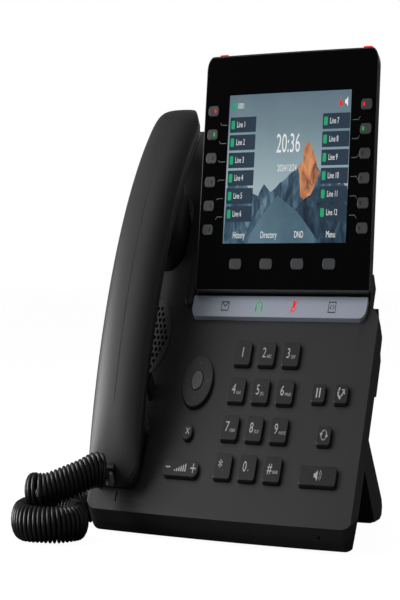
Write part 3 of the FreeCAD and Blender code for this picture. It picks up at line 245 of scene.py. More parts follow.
def bar_material():
    """Satin bar: blue-grey with painted light, paler at its left end and darker towards its right end, with a fine
    grain.
    """
    m, nt, b = nodes_of("status_bar_satin")
    L = nt.links.new
    tc = nt.nodes.new("ShaderNodeTexCoord")
    sep = nt.nodes.new("ShaderNodeSeparateXYZ")
    L(tc.outputs["Object"], sep.inputs[0])
    # painted light: the blue-grey falls from paler at the bar's left end to darker at its right end
    mr = nt.nodes.new("ShaderNodeMapRange")
    mr.inputs["From Min"].default_value = -0.052
    mr.inputs["From Max"].default_value = 0.103
    L(sep.outputs["X"], mr.inputs["Value"])
    r = nt.nodes.new("ShaderNodeValToRGB")
    r.color_ramp.elements[0].color = (0.60, 0.66, 0.79, 1)
    r.color_ramp.elements[1].color = (0.50, 0.55, 0.665, 1)
    L(mr.outputs["Result"], r.inputs["Fac"])
    n = nt.nodes.new("ShaderNodeTexNoise")
    n.inputs["Scale"].default_value = 1500
    L(tc.outputs["Object"], n.inputs["Vector"])
    mx = nt.nodes.new("ShaderNodeMixRGB")
    mx.blend_type = "MULTIPLY"
    mx.inputs["Fac"].default_value = 0.15
    L(r.outputs["Color"], mx.inputs["Color1"])
    L(n.outputs["Fac"], mx.inputs["Color2"])
    L(mx.outputs["Color"], b.inputs["Base Color"])
    b.inputs["Roughness"].default_value = 0.42
    bp = nt.nodes.new("ShaderNodeBump")
    bp.inputs["Strength"].default_value = 0.05
    bp.inputs["Distance"].default_value = 0.0001
    L(n.outputs["Fac"], bp.inputs["Height"])
    L(bp.outputs["Normal"], b.inputs["Normal"])
    return m


M["bar"] = bar_material()


def glass_material():
    """Front panel: black behind gloss, clear over the picture area."""
    m, nt, b = nodes_of("front_panel_gloss")
    L = nt.links.new
    tc = nt.nodes.new("ShaderNodeTexCoord")
    sub = nt.nodes.new("ShaderNodeVectorMath")
    sub.operation = "SUBTRACT"
    sub.inputs[1].default_value = DO / 1000
    L(tc.outputs["Object"], sub.inputs[0])
    dx = nt.nodes.new("ShaderNodeVectorMath")
    dx.operation = "DOT_PRODUCT"
    dx.inputs[1].default_value = (1, 0, 0)
    dy = nt.nodes.new("ShaderNodeVectorMath")
    dy.operation = "DOT_PRODUCT"
    dy.inputs[1].default_value = DU
    L(sub.outputs[0], dx.inputs[0])
    L(sub.outputs[0], dy.inputs[0])

    def math_node(op, a, v):
        n = nt.nodes.new("ShaderNodeMath")
        n.operation = op
        if isinstance(a, bpy.types.NodeSocket):
            L(a, n.inputs[0])
        else:
            n.inputs[0].default_value = a
        if isinstance(v, bpy.types.NodeSocket):
            L(v, n.inputs[1])
        else:
            n.inputs[1].default_value = v
        return n.outputs[0]

    ax = math_node("ABSOLUTE", dx.outputs["Value"], 0)
    inx = math_node("LESS_THAN", ax, 0.0553)
    yy = math_node("ABSOLUTE", math_node("SUBTRACT", dy.outputs["Value"], 0.05045), 0)
    iny = math_node("LESS_THAN", yy, 0.03105)
    inside = math_node("MULTIPLY", inx, iny)
    n = nt.nodes.new("ShaderNodeTexNoise")
    n.inputs["Scale"].default_value = 22
    n.inputs["Detail"].default_value = 4
    L(tc.outputs["Object"], n.inputs["Vector"])
    mr = nt.nodes.new("ShaderNodeMapRange")
    mr.inputs["To Min"].default_value = 0.05
    mr.inputs["To Max"].default_value = 0.13
    L(n.outputs["Fac"], mr.inputs["Value"])
    L(mr.outputs["Result"], b.inputs["Roughness"])
    b.inputs["Base Color"].default_value = (0.0022, 0.0022, 0.0024, 1)
    b.inputs["Specular IOR Level"].default_value = 0.14
    tr = nt.nodes.new("ShaderNodeBsdfTransparent")
    gl = nt.nodes.new("ShaderNodeBsdfGlossy")
    gl.inputs["Roughness"].default_value = 0.06
    mixc = nt.nodes.new("ShaderNodeMixShader")
    mixc.inputs[0].default_value = 0.012
    L(tr.outputs[0], mixc.inputs[1])
    L(gl.outputs[0], mixc.inputs[2])
    mix = nt.nodes.new("ShaderNodeMixShader")
    L(inside, mix.inputs[0])
    L(b.outputs[0], mix.inputs[1])
    L(mixc.outputs[0], mix.inputs[2])
    out = nt.nodes["Material Output"]
    L(mix.outputs[0], out.inputs["Surface"])
    return m


M["glass"] = glass_material()


def sky_material():
    """The picture's sky: blue-grey, palest in the middle of its height, soft bands of haze."""
    m, nt, b = nodes_of("picture_sky")
    L = nt.links.new
    tc = nt.nodes.new("ShaderNodeTexCoord")
    sub = nt.nodes.new("ShaderNodeVectorMath")
    sub.operation = "SUBTRACT"
    sub.inputs[1].default_value = DO / 1000
    L(tc.outputs["Object"], sub.inputs[0])
    dy = nt.nodes.new("ShaderNodeVectorMath")
    dy.operation = "DOT_PRODUCT"
    dy.inputs[1].default_value = DU
    L(sub.outputs[0], dy.inputs[0])
    n = nt.nodes.new("ShaderNodeTexNoise")
    n.inputs["Scale"].default_value = 30
    n.inputs["Detail"].default_value = 4
    L(tc.outputs["Object"], n.inputs["Vector"])
    ad = nt.nodes.new("ShaderNodeMath")
    ad.operation = "MULTIPLY_ADD"
    ad.inputs[1].default_value = 0.012
    L(n.outputs["Fac"], ad.inputs[0])
    L(dy.outputs["Value"], ad.inputs[2])
    mr = nt.nodes.new("ShaderNodeMapRange")
    mr.inputs["From Min"].default_value = 0.0254
    mr.inputs["From Max"].default_value = 0.0874
    L(ad.outputs[0], mr.inputs["Value"])
    r = nt.nodes.new("ShaderNodeValToRGB")
    e = r.color_ramp.elements
    e[0].position, e[0].color = 0.0, (0.10, 0.16, 0.20, 1)
    e[1].position, e[1].color = 1.0, (0.115, 0.175, 0.215, 1)
    for p, c in ((0.35, (0.33, 0.42, 0.45, 1)), (0.55, (0.25, 0.34, 0.38, 1)), (0.8, (0.15, 0.22, 0.26, 1))):
        k = e.new(p)
        k.color = c
    L(mr.outputs["Result"], r.inputs["Fac"])
    b.inputs["Base Color"].default_value = (0.01, 0.01, 0.01, 1)
    b.inputs["Specular IOR Level"].default_value = 0.1
    L(r.outputs["Color"], b.inputs["Emission Color"])
    fr = nt.nodes.new("ShaderNodeVectorMath")
    fr.operation = "DOT_PRODUCT"
    fr.inputs[1].default_value = DN
    L(tc.outputs["Normal"], fr.inputs[0])
    lit = nt.nodes.new("ShaderNodeMath")
    lit.operation = "GREATER_THAN"
    lit.inputs[1].default_value = 0.5
    L(fr.outputs["Value"], lit.inputs[0])
    L(lit.outputs[0], b.inputs["Emission Strength"])
    return m


def rock_material(name, dark, mid, pale, scale, cut=0.5):
    """Painted rock: ridged noise stretched down the slope."""
    m, nt, b = nodes_of(name)
    L = nt.links.new
    tc = nt.nodes.new("ShaderNodeTexCoord")
    mp = nt.nodes.new("ShaderNodeMapping")
    mp.inputs["Scale"].default_value = (1.0, 1.0, 0.55)
    mp.inputs["Rotation"].default_value = (0, 0.5, 0)
    L(tc.outputs["Object"], mp.inputs["Vector"])
    n = nt.nodes.new("ShaderNodeTexNoise")
    n.inputs["Scale"].default_value = scale
    n.inputs["Detail"].default_value = 6
    n.inputs["Roughness"].default_value = 0.65
    n.inputs["Distortion"].default_value = 0.8
    L(mp.outputs[0], n.inputs["Vector"])
    r = nt.nodes.new("ShaderNodeValToRGB")
    e = r.color_ramp.elements
    e[0].position, e[0].color = cut - 0.14, (*dark, 1)
    e[1].position, e[1].color = cut + 0.16, (*pale, 1)
    k = e.new(cut)
    k.color = (*mid, 1)
    L(n.outputs["Fac"], r.inputs["Fac"])
    b.inputs["Base Color"].default_value = (0.01, 0.01, 0.01, 1)
    b.inputs["Specular IOR Level"].default_value = 0.1
    L(r.outputs["Color"], b.inputs["Emission Color"])
    b.inputs["Emission Strength"].default_value = 1.0
    return m


M["water"] = rock_material("picture_water", (0.055, 0.105, 0.145), (0.075, 0.14, 0.185), (0.095, 0.17, 0.22), 18, 0.5)
M["sky"] = sky_material()
M["peak"] = rock_material("picture_peak", (0.06, 0.045, 0.05), (0.42, 0.15, 0.06), (0.68, 0.30, 0.13), 150, 0.47)
M["slope"] = rock_material("picture_slope", (0.012, 0.030, 0.055), (0.045, 0.095, 0.14), (0.16, 0.26, 0.33), 110, 0.53)
M["slope2"] = rock_material("picture_front_slope", (0.006, 0.016, 0.032), (0.02, 0.048, 0.078), (0.07, 0.13, 0.18), 130, 0.55)

# ------------------------------------------------------------------ carried-over nodes
USE = {
    "top_shell": "shell", "bottom_shell": "under", "status_bar": "bar", "main_board": "board", "keypad_mat": "mat", "loudspeaker": "speaker",
    "rear_sockets": "socket", "hinge_pins": "steel", "shell_screws": "steel", "front_feet": "rubber", "stand_feet": "rubber", "stand_pins": "steel",
    "foot_stand": "under", "hook_switch": "keys", "display_glass": "glass", "display_bezel": "rim", "display_rear_cover": "under",
    "lcd_panel": "sky", "alert_lamps": "lamp", "handset_receiver": "speaker", "handset_microphone": "speaker", "key_ok": "ok", "nav_ring": "keys",
    "key_x": "keys", "volume_rocker": "keys",
}
for n, o in N.items():
    k = USE.get(n) or ("linekeys" if n.startswith(("line_key", "soft_key")) else "keys")
    o.data.materials.clear()
    o.data.materials.append(M[k])


# ------------------------------------------------------------------ mesh helpers
def mesh_ob(name, verts, faces, mat, body, smooth=True, angle=None):
    me = bpy.data.meshes.new(name)
    me.from_pydata([tuple(v) for v in verts], [], faces)
    me.validate()
    bm = bmesh.new()
    bm.from_mesh(me)
    bmesh.ops.recalc_face_normals(bm, faces=bm.faces)
    bm.to_mesh(me)
    bm.free()
    me.materials.append(mat)
    if smooth:
        me.shade_smooth()
    ob = bpy.data.objects.new(name, me)
    sc.collection.objects.link(ob)
    if body:
        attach(ob, body)
    return ob


class Flat:
    """Thin printed or lit shapes gathered into one piece, raised a hair over their surface."""

    def __init__(self, name, fr, body, mat, slot):
        self.name, self.fr, self.body, self.mat, self.slot = name, fr, body, mat, slot
        self.v, self.f = [], []

    def poly(self, pts, h):
        k = len(self.v)
        self.v += [self.fr(x, y, h) for x, y in pts]
        self.f.append(list(range(k, k + len(pts))))
        return self

    def rect(self, x0, x1, y0, y1, h, r=0.0):
        if r <= 0:
            return self.poly([(x0, y0), (x1, y0), (x1, y1), (x0, y1)], h)
        p = []
        for cx, cy, a0 in ((x1 - r, y0 + r, -90), (x1 - r, y1 - r, 0), (x0 + r, y1 - r, 90), (x0 + r, y0 + r, 180)):
            p += [(cx + r * math.cos(math.radians(a0 + 18 * i)), cy + r * math.sin(math.radians(a0 + 18 * i))) for i in range(6)]
        return self.poly(p, h)

    def line(self, pts, w, h):
        for (x0, y0), (x1, y1) in zip(pts, pts[1:]):
            d = math.hypot(x1 - x0, y1 - y0) or 1
            nx, ny = -(y1 - y0) / d * w / 2, (x1 - x0) / d * w / 2
            ex, ey = (x1 - x0) / d * w / 3, (y1 - y0) / d * w / 3
            self.poly([(x0 - ex + nx, y0 - ey + ny), (x1 + ex + nx, y1 + ey + ny), (x1 + ex - nx, y1 + ey - ny), (x0 - ex - nx, y0 - ey - ny)], h)
        return self

    def arc(self, cx, cy, r, a0, a1, w, h, n=14):
        p = [(cx + r * math.cos(math.radians(a0 + (a1 - a0) * i / n)), cy + r * math.sin(math.radians(a0 + (a1 - a0) * i / n))) for i in range(n + 1)]
        return self.line(p, w, h)

    def disc(self, cx, cy, r, h, n=20):
        return self.poly([(cx + r * math.cos(2 * math.pi * i / n), cy + r * math.sin(2 * math.pi * i / n)) for i in range(n)], h)

    def text(self, s, cx, cy, size, h, align="CENTER", sx=1.0, bold=0.0):
        cu = bpy.data.curves.new("t", "FONT")
        cu.body = s
        cu.size = size
        cu.align_x = align
        cu.align_y = "CENTER"
        cu.offset = bold
        cu.resolution_u = 3
        ob = bpy.data.objects.new("t", cu)
        sc.collection.objects.link(ob)
        bpy.context.view_layer.update()
        me = bpy.data.meshes.new_from_object(ob.evaluated_get(bpy.context.evaluated_depsgraph_get()))
        k = len(self.v)
        self.v += [self.fr(cx + v.co.x * sx, cy + v.co.y, h) for v in me.vertices]
        self.f += [[k + i for i in p.vertices] for p in me.polygons]
        bpy.data.objects.remove(ob)
        bpy.data.meshes.remove(me)
        bpy.data.curves.remove(cu)
        return self

    def done(self):
        me = bpy.data.meshes.new(self.name)
        me.from_pydata([tuple(v) for v in self.v], [], self.f)
        me.validate()
        me.materials.append(self.mat)
        # all faces look outwards
        nrm = (self.fr(0, 0, 1) - self.fr(0, 0, 0)).normalized()
        bm = bmesh.new()
        bm.from_mesh(me)
        bm.normal_update()
        for f in bm.faces:
            if f.normal.dot(nrm) < 0:
                f.normal_flip()
        bm.to_mesh(me)
        bm.free()
        ob = bpy.data.objects.new(self.name, me)
        sc.collection.objects.link(ob)
        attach(ob, self.body)
        return ob


BODY = {}
for b, e in frame["bodies"].items():
    pass
for b, ns in frame["record"]["behaviour"]["bodies"].items():
    for n in ns:
        BODY[n] = b

# soft rounding of the moulded edges on the carried-over shells
for n, w in (("top_shell", 0.45), ("bottom_shell", 0.7), ("foot_stand", 0.9), ("display_bezel", 0.0), ("display_rear_cover", 0.0)):
    o = N[n]
    if w:
        bv = o.modifiers.new("edge_round", "BEVEL")
        bv.width = w / 1000
        bv.segments = 2
        bv.limit_method = "ANGLE"
        bv.angle_limit = math.radians(35)
        bv.use_clamp_overlap = True

# ------------------------------------------------------------------ handset
HX, HM, HT, HR = -91.45, 118.0, 30.2, 232.0


def seam(v):
    return HT - HR + math.sqrt(HR * HR - (v - HM) ** 2)


def plan(inset, ns=72, nc=14, ne=14):
    w = 23.5 - inset
    lo, hi = 9.6 + inset, 210.0 - inset
    r1, r2 = max(10.5 - inset, 0.02), max(23.2 - inset, 0.02)
    r1, r2 = min(r1, w), min(r2, w)
    p = []

    def seg(a, b, n):
        for i in range(n):
            t = i / n
            p.append((a[0] + (b[0] - a[0]) * t, a[1] + (b[1] - a[1]) * t))

    def arc(cx, cy, r, a0, n):
        for i in range(n):
            a = math.radians(a0 + 90 * i / n)
            p.append((cx + r * math.cos(a), cy + r * math.sin(a)))

    x0, x1 = HX - w, HX + w
    seg((x0 + r1, lo), (x1 - r1, lo), ne)
    arc(x1 - r1, lo + r1, r1, -90, nc)
    seg((x1, lo + r1), (x1, hi - r2), ns)
    arc(x1 - r2, hi - r2, r2, 0, nc)
    seg((x1 - r2, hi), (x0 + r2, hi), ne)
    arc(x0 + r2, hi - r2, r2, 90, nc)
    seg((x0, hi - r2), (x0, lo + r1), ns)
    arc(x0 + r1, lo + r1, r1, 180, nc)
    return p


def shell_of(rings, hfun):
    verts, faces = [], []
    cnt = None
    for k, (inset, z) in enumerate(rings):
        p = plan(inset)
        cnt = len(p)
        verts += [face(x, v, hfun(x, v, inset, z)) for x, v in p]
        if k:
            a, b = (k - 1) * cnt, k * cnt
            faces += [[a + i, a + (i + 1) % cnt, b + (i + 1) % cnt, b + i] for i in range(cnt)]
    return verts, faces, cnt


def crown(x, v):
    """Height of the upper shell above the seam: arched across, and turned down towards both ends."""
    u = min(abs(x - HX) / 23.5, 1.0)
    e0, e1 = (v - 9.6) / 26.0, (210.0 - v) / 26.0
    e = min(max(min(e0, e1), 0.0), 1.0)
    cross = max(1 - u ** 2.7, 0.0) ** 0.56
    ends = math.sqrt(max(1 - (1 - e) ** 2.3, 0.0))
    return 1.7 + 8.3 * cross * ends


def top_h(x, v, i, z):
    return seam(v) + (z if i < 0.2 else max(crown(x, v), 1.7))


top_rings = [(1.2, 0.35), (0.25, 0.35), (0.0, 0.6), (0.0, 1.35), (0.12, 1.75)]
top_rings += [(d, 0.0) for d in (0.22, 0.36, 0.56, 0.85, 1.25, 1.8, 2.5, 3.4, 4.5, 5.8, 7.2, 8.8, 10.5, 12.4, 14.4, 16.4, 18.4, 20.4, 22.2, 23.3)]
v, f, c = shell_of(top_rings, top_h)
# close the spine: the innermost ring is a thin sliver, stitched across its width
f.append([len(v) - c + i for i in range(c)])
hs_top = mesh_ob("handset_upper_shell_skin", v, f, M["gloss"], "handset")
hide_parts("handset_upper_shell")


def low_h(x, v, i, z):
    h = seam(v) + z
    return max(h, 1.2 + 0.18 * i) if z < 0 else h


low_rings = [(1.6, 0.3), (0.75, 0.3), (0.75, -2.6), (0.95, -3.3), (1.6, -4.0), (3.0, -5.2), (5.0, -6.9), (7.5, -8.3), (10.0, -9.0), (14.0, -9.3), (20.0, -9.4), (23.4, -9.4)]
v, f, c = shell_of(low_rings, low_h)
f.append([len(v) - c + i for i in range(c)])
hs_low = mesh_ob("handset_lower_shell_skin", v, f, M["hunder"], "handset")
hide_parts("handset_lower_shell")
v, f, c = shell_of([(1.3, 0.28), (0.35, 0.28), (0.28, 0.1), (0.35, -0.35), (0.9, -0.5), (1.3, -0.5)], lambda x, v, i, z: seam(v) + z)
mesh_ob("handset_seam_band", v, f, M["seam"], "handset")


def puck(name, cx, cv, w, l, r, hs, mat, body, fr=face):
    """A rounded block through a stack of (height, inset) rings, closed at both ends."""
    verts, faces = [], []
    n = 10
    for k, (h, ins) in enumerate(hs):
        p = []
        rr = max(r - ins, 0.05)
        for sx, sy, a0 in ((1, -1, -90), (1, 1, 0), (-1, 1, 90), (-1, -1, 180)):
            ox, oy = cx + sx * (w / 2 - ins - rr), cv + sy * (l / 2 - ins - rr)
            p += [(ox + rr * math.cos(math.radians(a0 + 90 * i / (n - 1))), oy + rr * math.sin(math.radians(a0 + 90 * i / (n - 1)))) for i in range(n)]
        verts += [fr(x, y, h) for x, y in p]
        c = len(p)
        if k:
            a, b = (k - 1) * c, k * c
            faces += [[a + i, a + (i + 1) % c, b + (i + 1) % c, b + i] for i in range(c)]
    faces.append(list(range(c)))
    faces.append([len(verts) - c + i for i in range(c)])
    return mesh_ob(name, verts, faces, mat, body)


puck("handset_ear_bump", HX, 151.0, 36.0, 38.0, 12.0, [(22, 0.5), (2, 0.0), (-3.5, 0.4), (-5.6, 1.6), (-6.3, 3.4)], M["hunder"], "handset")
puck("handset_mouth_bump", HX, 32.0, 36.0, 31.0, 10.0, [(6, 0.2), (0, 0.0), (-2.4, 0.5), (-3.4, 1.4), (-3.9, 3.0)], M["hunder"], "handset")


# ------------------------------------------------------------------ coiled cord
def catmull(P, per=60):
    out = []
    Q = [P[0] * 2 - P[1]] + P + [P[-1] * 2 - P[-2]]
    for i in range(1, len(Q) - 2):
        p0, p1, p2, p3 = Q[i - 1], Q[i], Q[i + 1], Q[i + 2]
        for j in range(per):
            t = j / per
            out.append(0.5 * ((2 * p1) + (p2 - p0) * t + (2 * p0 - 5 * p1 + 4 * p2 - p3) * t * t + (3 * p1 - p0 - 3 * p2 + p3) * t ** 3))
    out.append(P[-1])
    return out


def tube(name, pts, rad, mat, body, sides=10, cap=True):
    verts, faces = [], []
    t = (pts[1] - pts[0]).normalized()
    u = t.orthogonal().normalized()
    for i, p in enumerate(pts):
        t = (pts[min(i + 1, len(pts) - 1)] - pts[max(i - 1, 0)]).normalized()
        u = (u - t * u.dot(t)).normalized()
        w = t.cross(u)
        r = rad(i / (len(pts) - 1)) if callable(rad) else rad
        verts += [p + (u * math.cos(2 * math.pi * k / sides) + w * math.sin(2 * math.pi * k / sides)) * r for k in range(sides)]
        if i:
            a, b = (i - 1) * sides, i * sides
            faces += [[a + k, a + (k + 1) % sides, b + (k + 1) % sides, b + k] for k in range(sides)]
    if cap:
        faces.append(list(range(sides)))
        faces.append([len(verts) - sides + k for k in range(sides)])
    return mesh_ob(name, verts, faces, mat, body)


CORD = [face(HX, 7.4, 11.5) * 1000] + [Vector(p) for p in (
    (-98.1, -12.1, 25.4), (-109.8, -25.3, 22.2), (-127.2, -39.1, 18.5), (-136.0, -42.2, 18.2), (-143.0, -36.6, 17.0),
    (-141.0, -24.6, 13.5), (-130.5, -16.3, 8.5), (-115.8, -17.1, 7.1), (-104.9, -25.2, 7.1), (-101.5, -38.0, 7.1),
    (-108.9, -50.4, 7.1), (-121.1, -57.3, 7.1), (-135.0, -58.3, 7.1), (-146.9, -50.6, 7.1), (-153.4, -37.1, 7.1),
    (-154.8, -21.2, 7.1), (-148.0, -2.0, 7.1), (-138.0, 15.0, 7.1), (-131.0, 31.0, 7.1), (-123.0, 45.0, 7.6),
    (-112.0, 54.5, 11.5), (-104.8, 55.0, 18.6))] + [face(-103.0, 45.0, -20.5) * 1000, face(-103.0, 45.0, -13.7) * 1000]
COIL, WIRE, PITCH, LEAD = 5.22, 1.74, 3.42, 5.0


def coil_points():
    path = catmull(CORD, 40)
    s = [0.0]
    for a, b in zip(path, path[1:]):
        s.append(s[-1] + (b - a).length)
    total = s[-1]
    per = 18
    turns = (total - 2 * LEAD) / PITCH
    nn = int(turns * per)
    t = (path[1] - path[0]).normalized()
    u = t.orthogonal().normalized()
    # frames along the path
    fr = []
    for i, p in enumerate(path):
        t = (path[min(i + 1, len(path) - 1)] - path[max(i - 1, 0)]).normalized()
        u = (u - t * u.dot(t)).normalized()
        fr.append((p, t, u.copy()))

    def at(d):
        i = min(max(bisect.bisect_right(s, d) - 1, 0), len(path) - 2)
        f_ = (d - s[i]) / max(s[i + 1] - s[i], 1e-9)
        p = fr[i][0].lerp(fr[i + 1][0], f_)
        t_ = fr[i][1].lerp(fr[i + 1][1], f_).normalized()
        u_ = fr[i][2].lerp(fr[i + 1][2], f_)
        u_ = (u_ - t_ * u_.dot(t_)).normalized()
        return p, t_, u_

    out, cut = [], 0
    for i in range(12):
        p, t_, u_ = at(LEAD * i / 12)
        k = i / 12
        out.append(p + u_ * COIL * k * k)
    for i in range(nn + 1):
        d = LEAD + (total - 2 * LEAD) * i / nn
        p, t_, u_ = at(d)
        a = 2 * math.pi * i / per
        wob = COIL + 0.07 * math.sin(d * 0.21) + 0.05 * math.sin(d * 0.073 + 1)
        out.append(p + (u_ * math.cos(a) + t_.cross(u_) * math.sin(a)) * wob)
        if d < s[160]:
            cut = len(out) - 1
    a_end = 2 * math.pi * nn / per
    for i in range(1, 13):
        p, t_, u_ = at(min(total - LEAD + LEAD * i / 12, total - 0.01))
        k = 1 - i / 12
        out.append(p + (u_ * math.cos(a_end) + t_.cross(u_) * math.sin(a_end)) * COIL * k * k)
    return [p / 1000 for p in out], cut


cp, cut = coil_points()
cord = tube("coiled_cord_helix", cp[cut - 1:], WIRE / 1000, M["cord"], "base", sides=10)
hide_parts("coiled_cord")
lead = tube("coiled_cord_lead", cp[:cut + 1], WIRE / 1000, M["cord"], None, sides=10)
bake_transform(lead)


def clear_plug():
    m, nt, b = nodes_of("clear_plug")
    L = nt.links.new
    tc = nt.nodes.new("ShaderNodeTexCoord")
    n = nt.nodes.new("ShaderNodeTexNoise")
    n.inputs["Scale"].default_value = 400
    L(tc.outputs["Object"], n.inputs["Vector"])
    r = nt.nodes.new("ShaderNodeValToRGB")
    r.color_ramp.elements[0].color = (0.35, 0.35, 0.34, 1)
    r.color_ramp.elements[1].color = (0.6, 0.6, 0.58, 1)
    L(n.outputs["Fac"], r.inputs["Fac"])
    L(r.outputs["Color"], b.inputs["Base Color"])
    b.inputs["Roughness"].default_value = 0.12
    b.inputs["Transmission Weight"].default_value = 0.6
    b.inputs["IOR"].default_value = 1.49
    return m


M["clear"] = clear_plug()


def end_frame(x, y, z=0.0):
    """x across, y up the end of the handset, z out of its lower end."""
    return face(HX + x, 9.6 - z, y)


puck("handset_plug", 0.0, 9.2, 6.4, 5.6, 0.7, [(-4, 0.2), (1.6, 0.0), (3.2, 0.2), (3.6, 0.6)], M["clear"], "handset", end_frame)
# painted shade: a near-black block round the plug stands in for the shadowed opening of the cord socket in the
# handset's lower end
puck("handset_plug_notch", 0.0, 9.2, 9.2, 8.0, 1.0, [(-3, 0.3), (0.25, 0.0), (0.32, 0.25)], M["black"], "handset", end_frame)

# ------------------------------------------------------------------ key legends
KT = 2.0 + 0.03
rows = [82.5, 63.25, 44.0, 24.75]
cols = [1.95, 23.15, 44.35]
lab = [("1", ""), ("2", "ABC"), ("3", "DEF"), ("4", "GHI"), ("5", "JKL"), ("6", "MNO"), ("7", "PQRS"), ("8", "TUV"), ("9", "WXYZ"), ("*", "."), ("0", "+"), ("#", "SEND")]
ids = ["1", "2", "3", "4", "5", "6", "7", "8", "9", "star", "0", "hash"]
for i, (big, small) in enumerate(lab):
    n = "key_" + ids[i]
    cx, cv = cols[i % 3], rows[i // 3]
    fl = Flat(n + "_legend", face, BODY[n], M["print"], "keys")
    fl.text(big, cx - (2.2 if small else 0.0), cv - (1.0 if big == "*" else 0), 7.4 if big != "*" else 9.5, KT, sx=0.92, bold=0.0)
    if small:
        fl.text(small, cx + 0.4, cv - 1.7, 2.5 if len(small) < 4 else 2.2, KT, align="LEFT", sx=0.9)
    fl.done()
fl = Flat("key_pause_legend", face, BODY["key_pause"], M["print"], "keys")
fl.rect(71.2, 72.2, 60.7, 65.6, KT).rect(73.7, 74.7, 60.7, 65.6, KT).done()
fl = Flat("key_transfer_legend", face, BODY["key_transfer"], M["print"], "keys")
cx, cv = 92.1, 63.2
fl.line([(cx - 1.6, cv + 2.6), (cx - 2.6, cv + 1.2), (cx - 2.4, cv - 0.8), (cx - 0.6, cv - 2.4)], 1.15, KT)
fl.line([(cx + 0.2, cv - 1.4), (cx + 2.4, cv + 1.6)], 0.7, KT).line([(cx + 0.6, cv + 1.8), (cx + 2.5, cv + 1.9), (cx + 2.6, cv - 0.2)], 0.7, KT).done()
fl = Flat("key_redial_legend", face, BODY["key_redial"], M["print"], "keys")
cx, cv = 82.8, 42.4
fl.arc(cx, cv, 2.3, 20, 165, 0.75, KT).arc(cx, cv, 2.3, 200, 345, 0.75, KT)
fl.poly([(cx - 3.5, cv + 0.8), (cx - 1.1, cv + 0.8), (cx - 2.3, cv - 0.9)], KT).poly([(cx + 3.5, cv - 0.8), (cx + 1.1, cv - 0.8), (cx + 2.3, cv + 0.9)], KT).done()
fl = Flat("key_speaker_legend", face, BODY["key_speaker"], M["print"], "keys")
cx, cv = 82.0, 22.9
fl.poly([(cx - 2.4, cv - 1.0), (cx - 1.2, cv - 1.0), (cx + 0.6, cv - 2.6), (cx + 0.6, cv + 2.6), (cx - 1.2, cv + 1.0), (cx - 2.4, cv + 1.0)], KT)
fl.arc(cx + 0.6, cv, 1.7, -50, 50, 0.55, KT).arc(cx + 0.6, cv, 2.9, -50, 50, 0.55, KT).done()
fl = Flat("key_x_legend", face, BODY["key_x"], M["print"], "keys")
fl.line([(-35.8, 39.5), (-33.2, 42.3)], 0.62, KT).line([(-35.8, 42.3), (-33.2, 39.5)], 0.62, KT).done()
fl = Flat("volume_legend", face, BODY["volume_rocker"], M["print"], "keys")
fl.line([(-47.6, 22.3), (-44.0, 22.3)], 0.7, KT).line([(-25.4, 22.3), (-21.4, 22.3)], 0.7, KT).line([(-23.4, 20.2), (-23.4, 24.4)], 0.7, KT)
for i in range(6):
    fl.rect(-39.9 + 1.85 * i, -38.9 + 1.85 * i, 20.4, 21.2 + 0.62 * i, KT)
fl.done()
fl = Flat("nav_ring_dots", face, BODY["nav_ring"], M["printdim"], "keys")
for dx, dv in ((9.4, 0), (-9.4, 0), (0, 9.4), (0, -9.4)):
    fl.disc(-34.5 + dx, 67.1 + dv, 0.55, KT)
fl.done()

# ------------------------------------------------------------------ status bar icons
BT = 2.0 + 0.03
fl = Flat("bar_icon_mail", face, "base", M["icondim"], "bar")
cx, cv = -22.0, 107.3
fl.line([(cx - 3.2, cv - 2.3), (cx + 3.2, cv - 2.3), (cx + 3.2, cv + 2.3), (cx - 3.2, cv + 2.3), (cx - 3.2, cv - 2.3)], 0.6, BT)
fl.line([(cx - 3.2, cv + 2.3), (cx, cv - 0.2), (cx + 3.2, cv + 2.3)], 0.6, BT).done()
fl = Flat("bar_icon_head", face, "base", M["green"], "bar")
cx, cv = 9.0, 107.3
fl.arc(cx, cv - 0.2, 2.6, 10, 170, 0.7, BT).rect(cx - 3.3, cx - 1.9, cv - 2.8, cv + 0.2, BT, 0.5).rect(cx + 1.9, cx + 3.3, cv - 2.8, cv + 0.2, BT, 0.5).done()
fl = Flat("bar_icon_mute", face, "base", M["red"], "bar")
cx, cv = 40.0, 107.3
fl.rect(cx - 1.1, cx + 1.1, cv - 0.9, cv + 3.2, BT, 1.0).arc(cx, cv - 0.2, 2.2, 180, 360, 0.55, BT).rect(cx - 0.3, cx + 0.3, cv - 3.4, cv - 2.2, BT)
fl.line([(cx - 2.8, cv - 2.8), (cx + 2.8, cv + 3.2)], 0.5, BT + 0.02).done()
fl = Flat("bar_icon_panel", face, "base", M["icondim"], "bar")
cx, cv = 73.5, 107.3
fl.line([(cx - 3.0, cv - 2.7), (cx + 3.0, cv - 2.7), (cx + 3.0, cv + 2.7), (cx - 3.0, cv + 2.7), (cx - 3.0, cv - 2.7)], 0.55, BT)
fl.line([(cx - 0.7, cv + 1.2), (cx - 1.8, cv), (cx - 0.7, cv - 1.2)], 0.5, BT).line([(cx + 0.7, cv + 1.2), (cx + 1.8, cv), (cx + 0.7, cv - 1.2)], 0.5, BT).done()

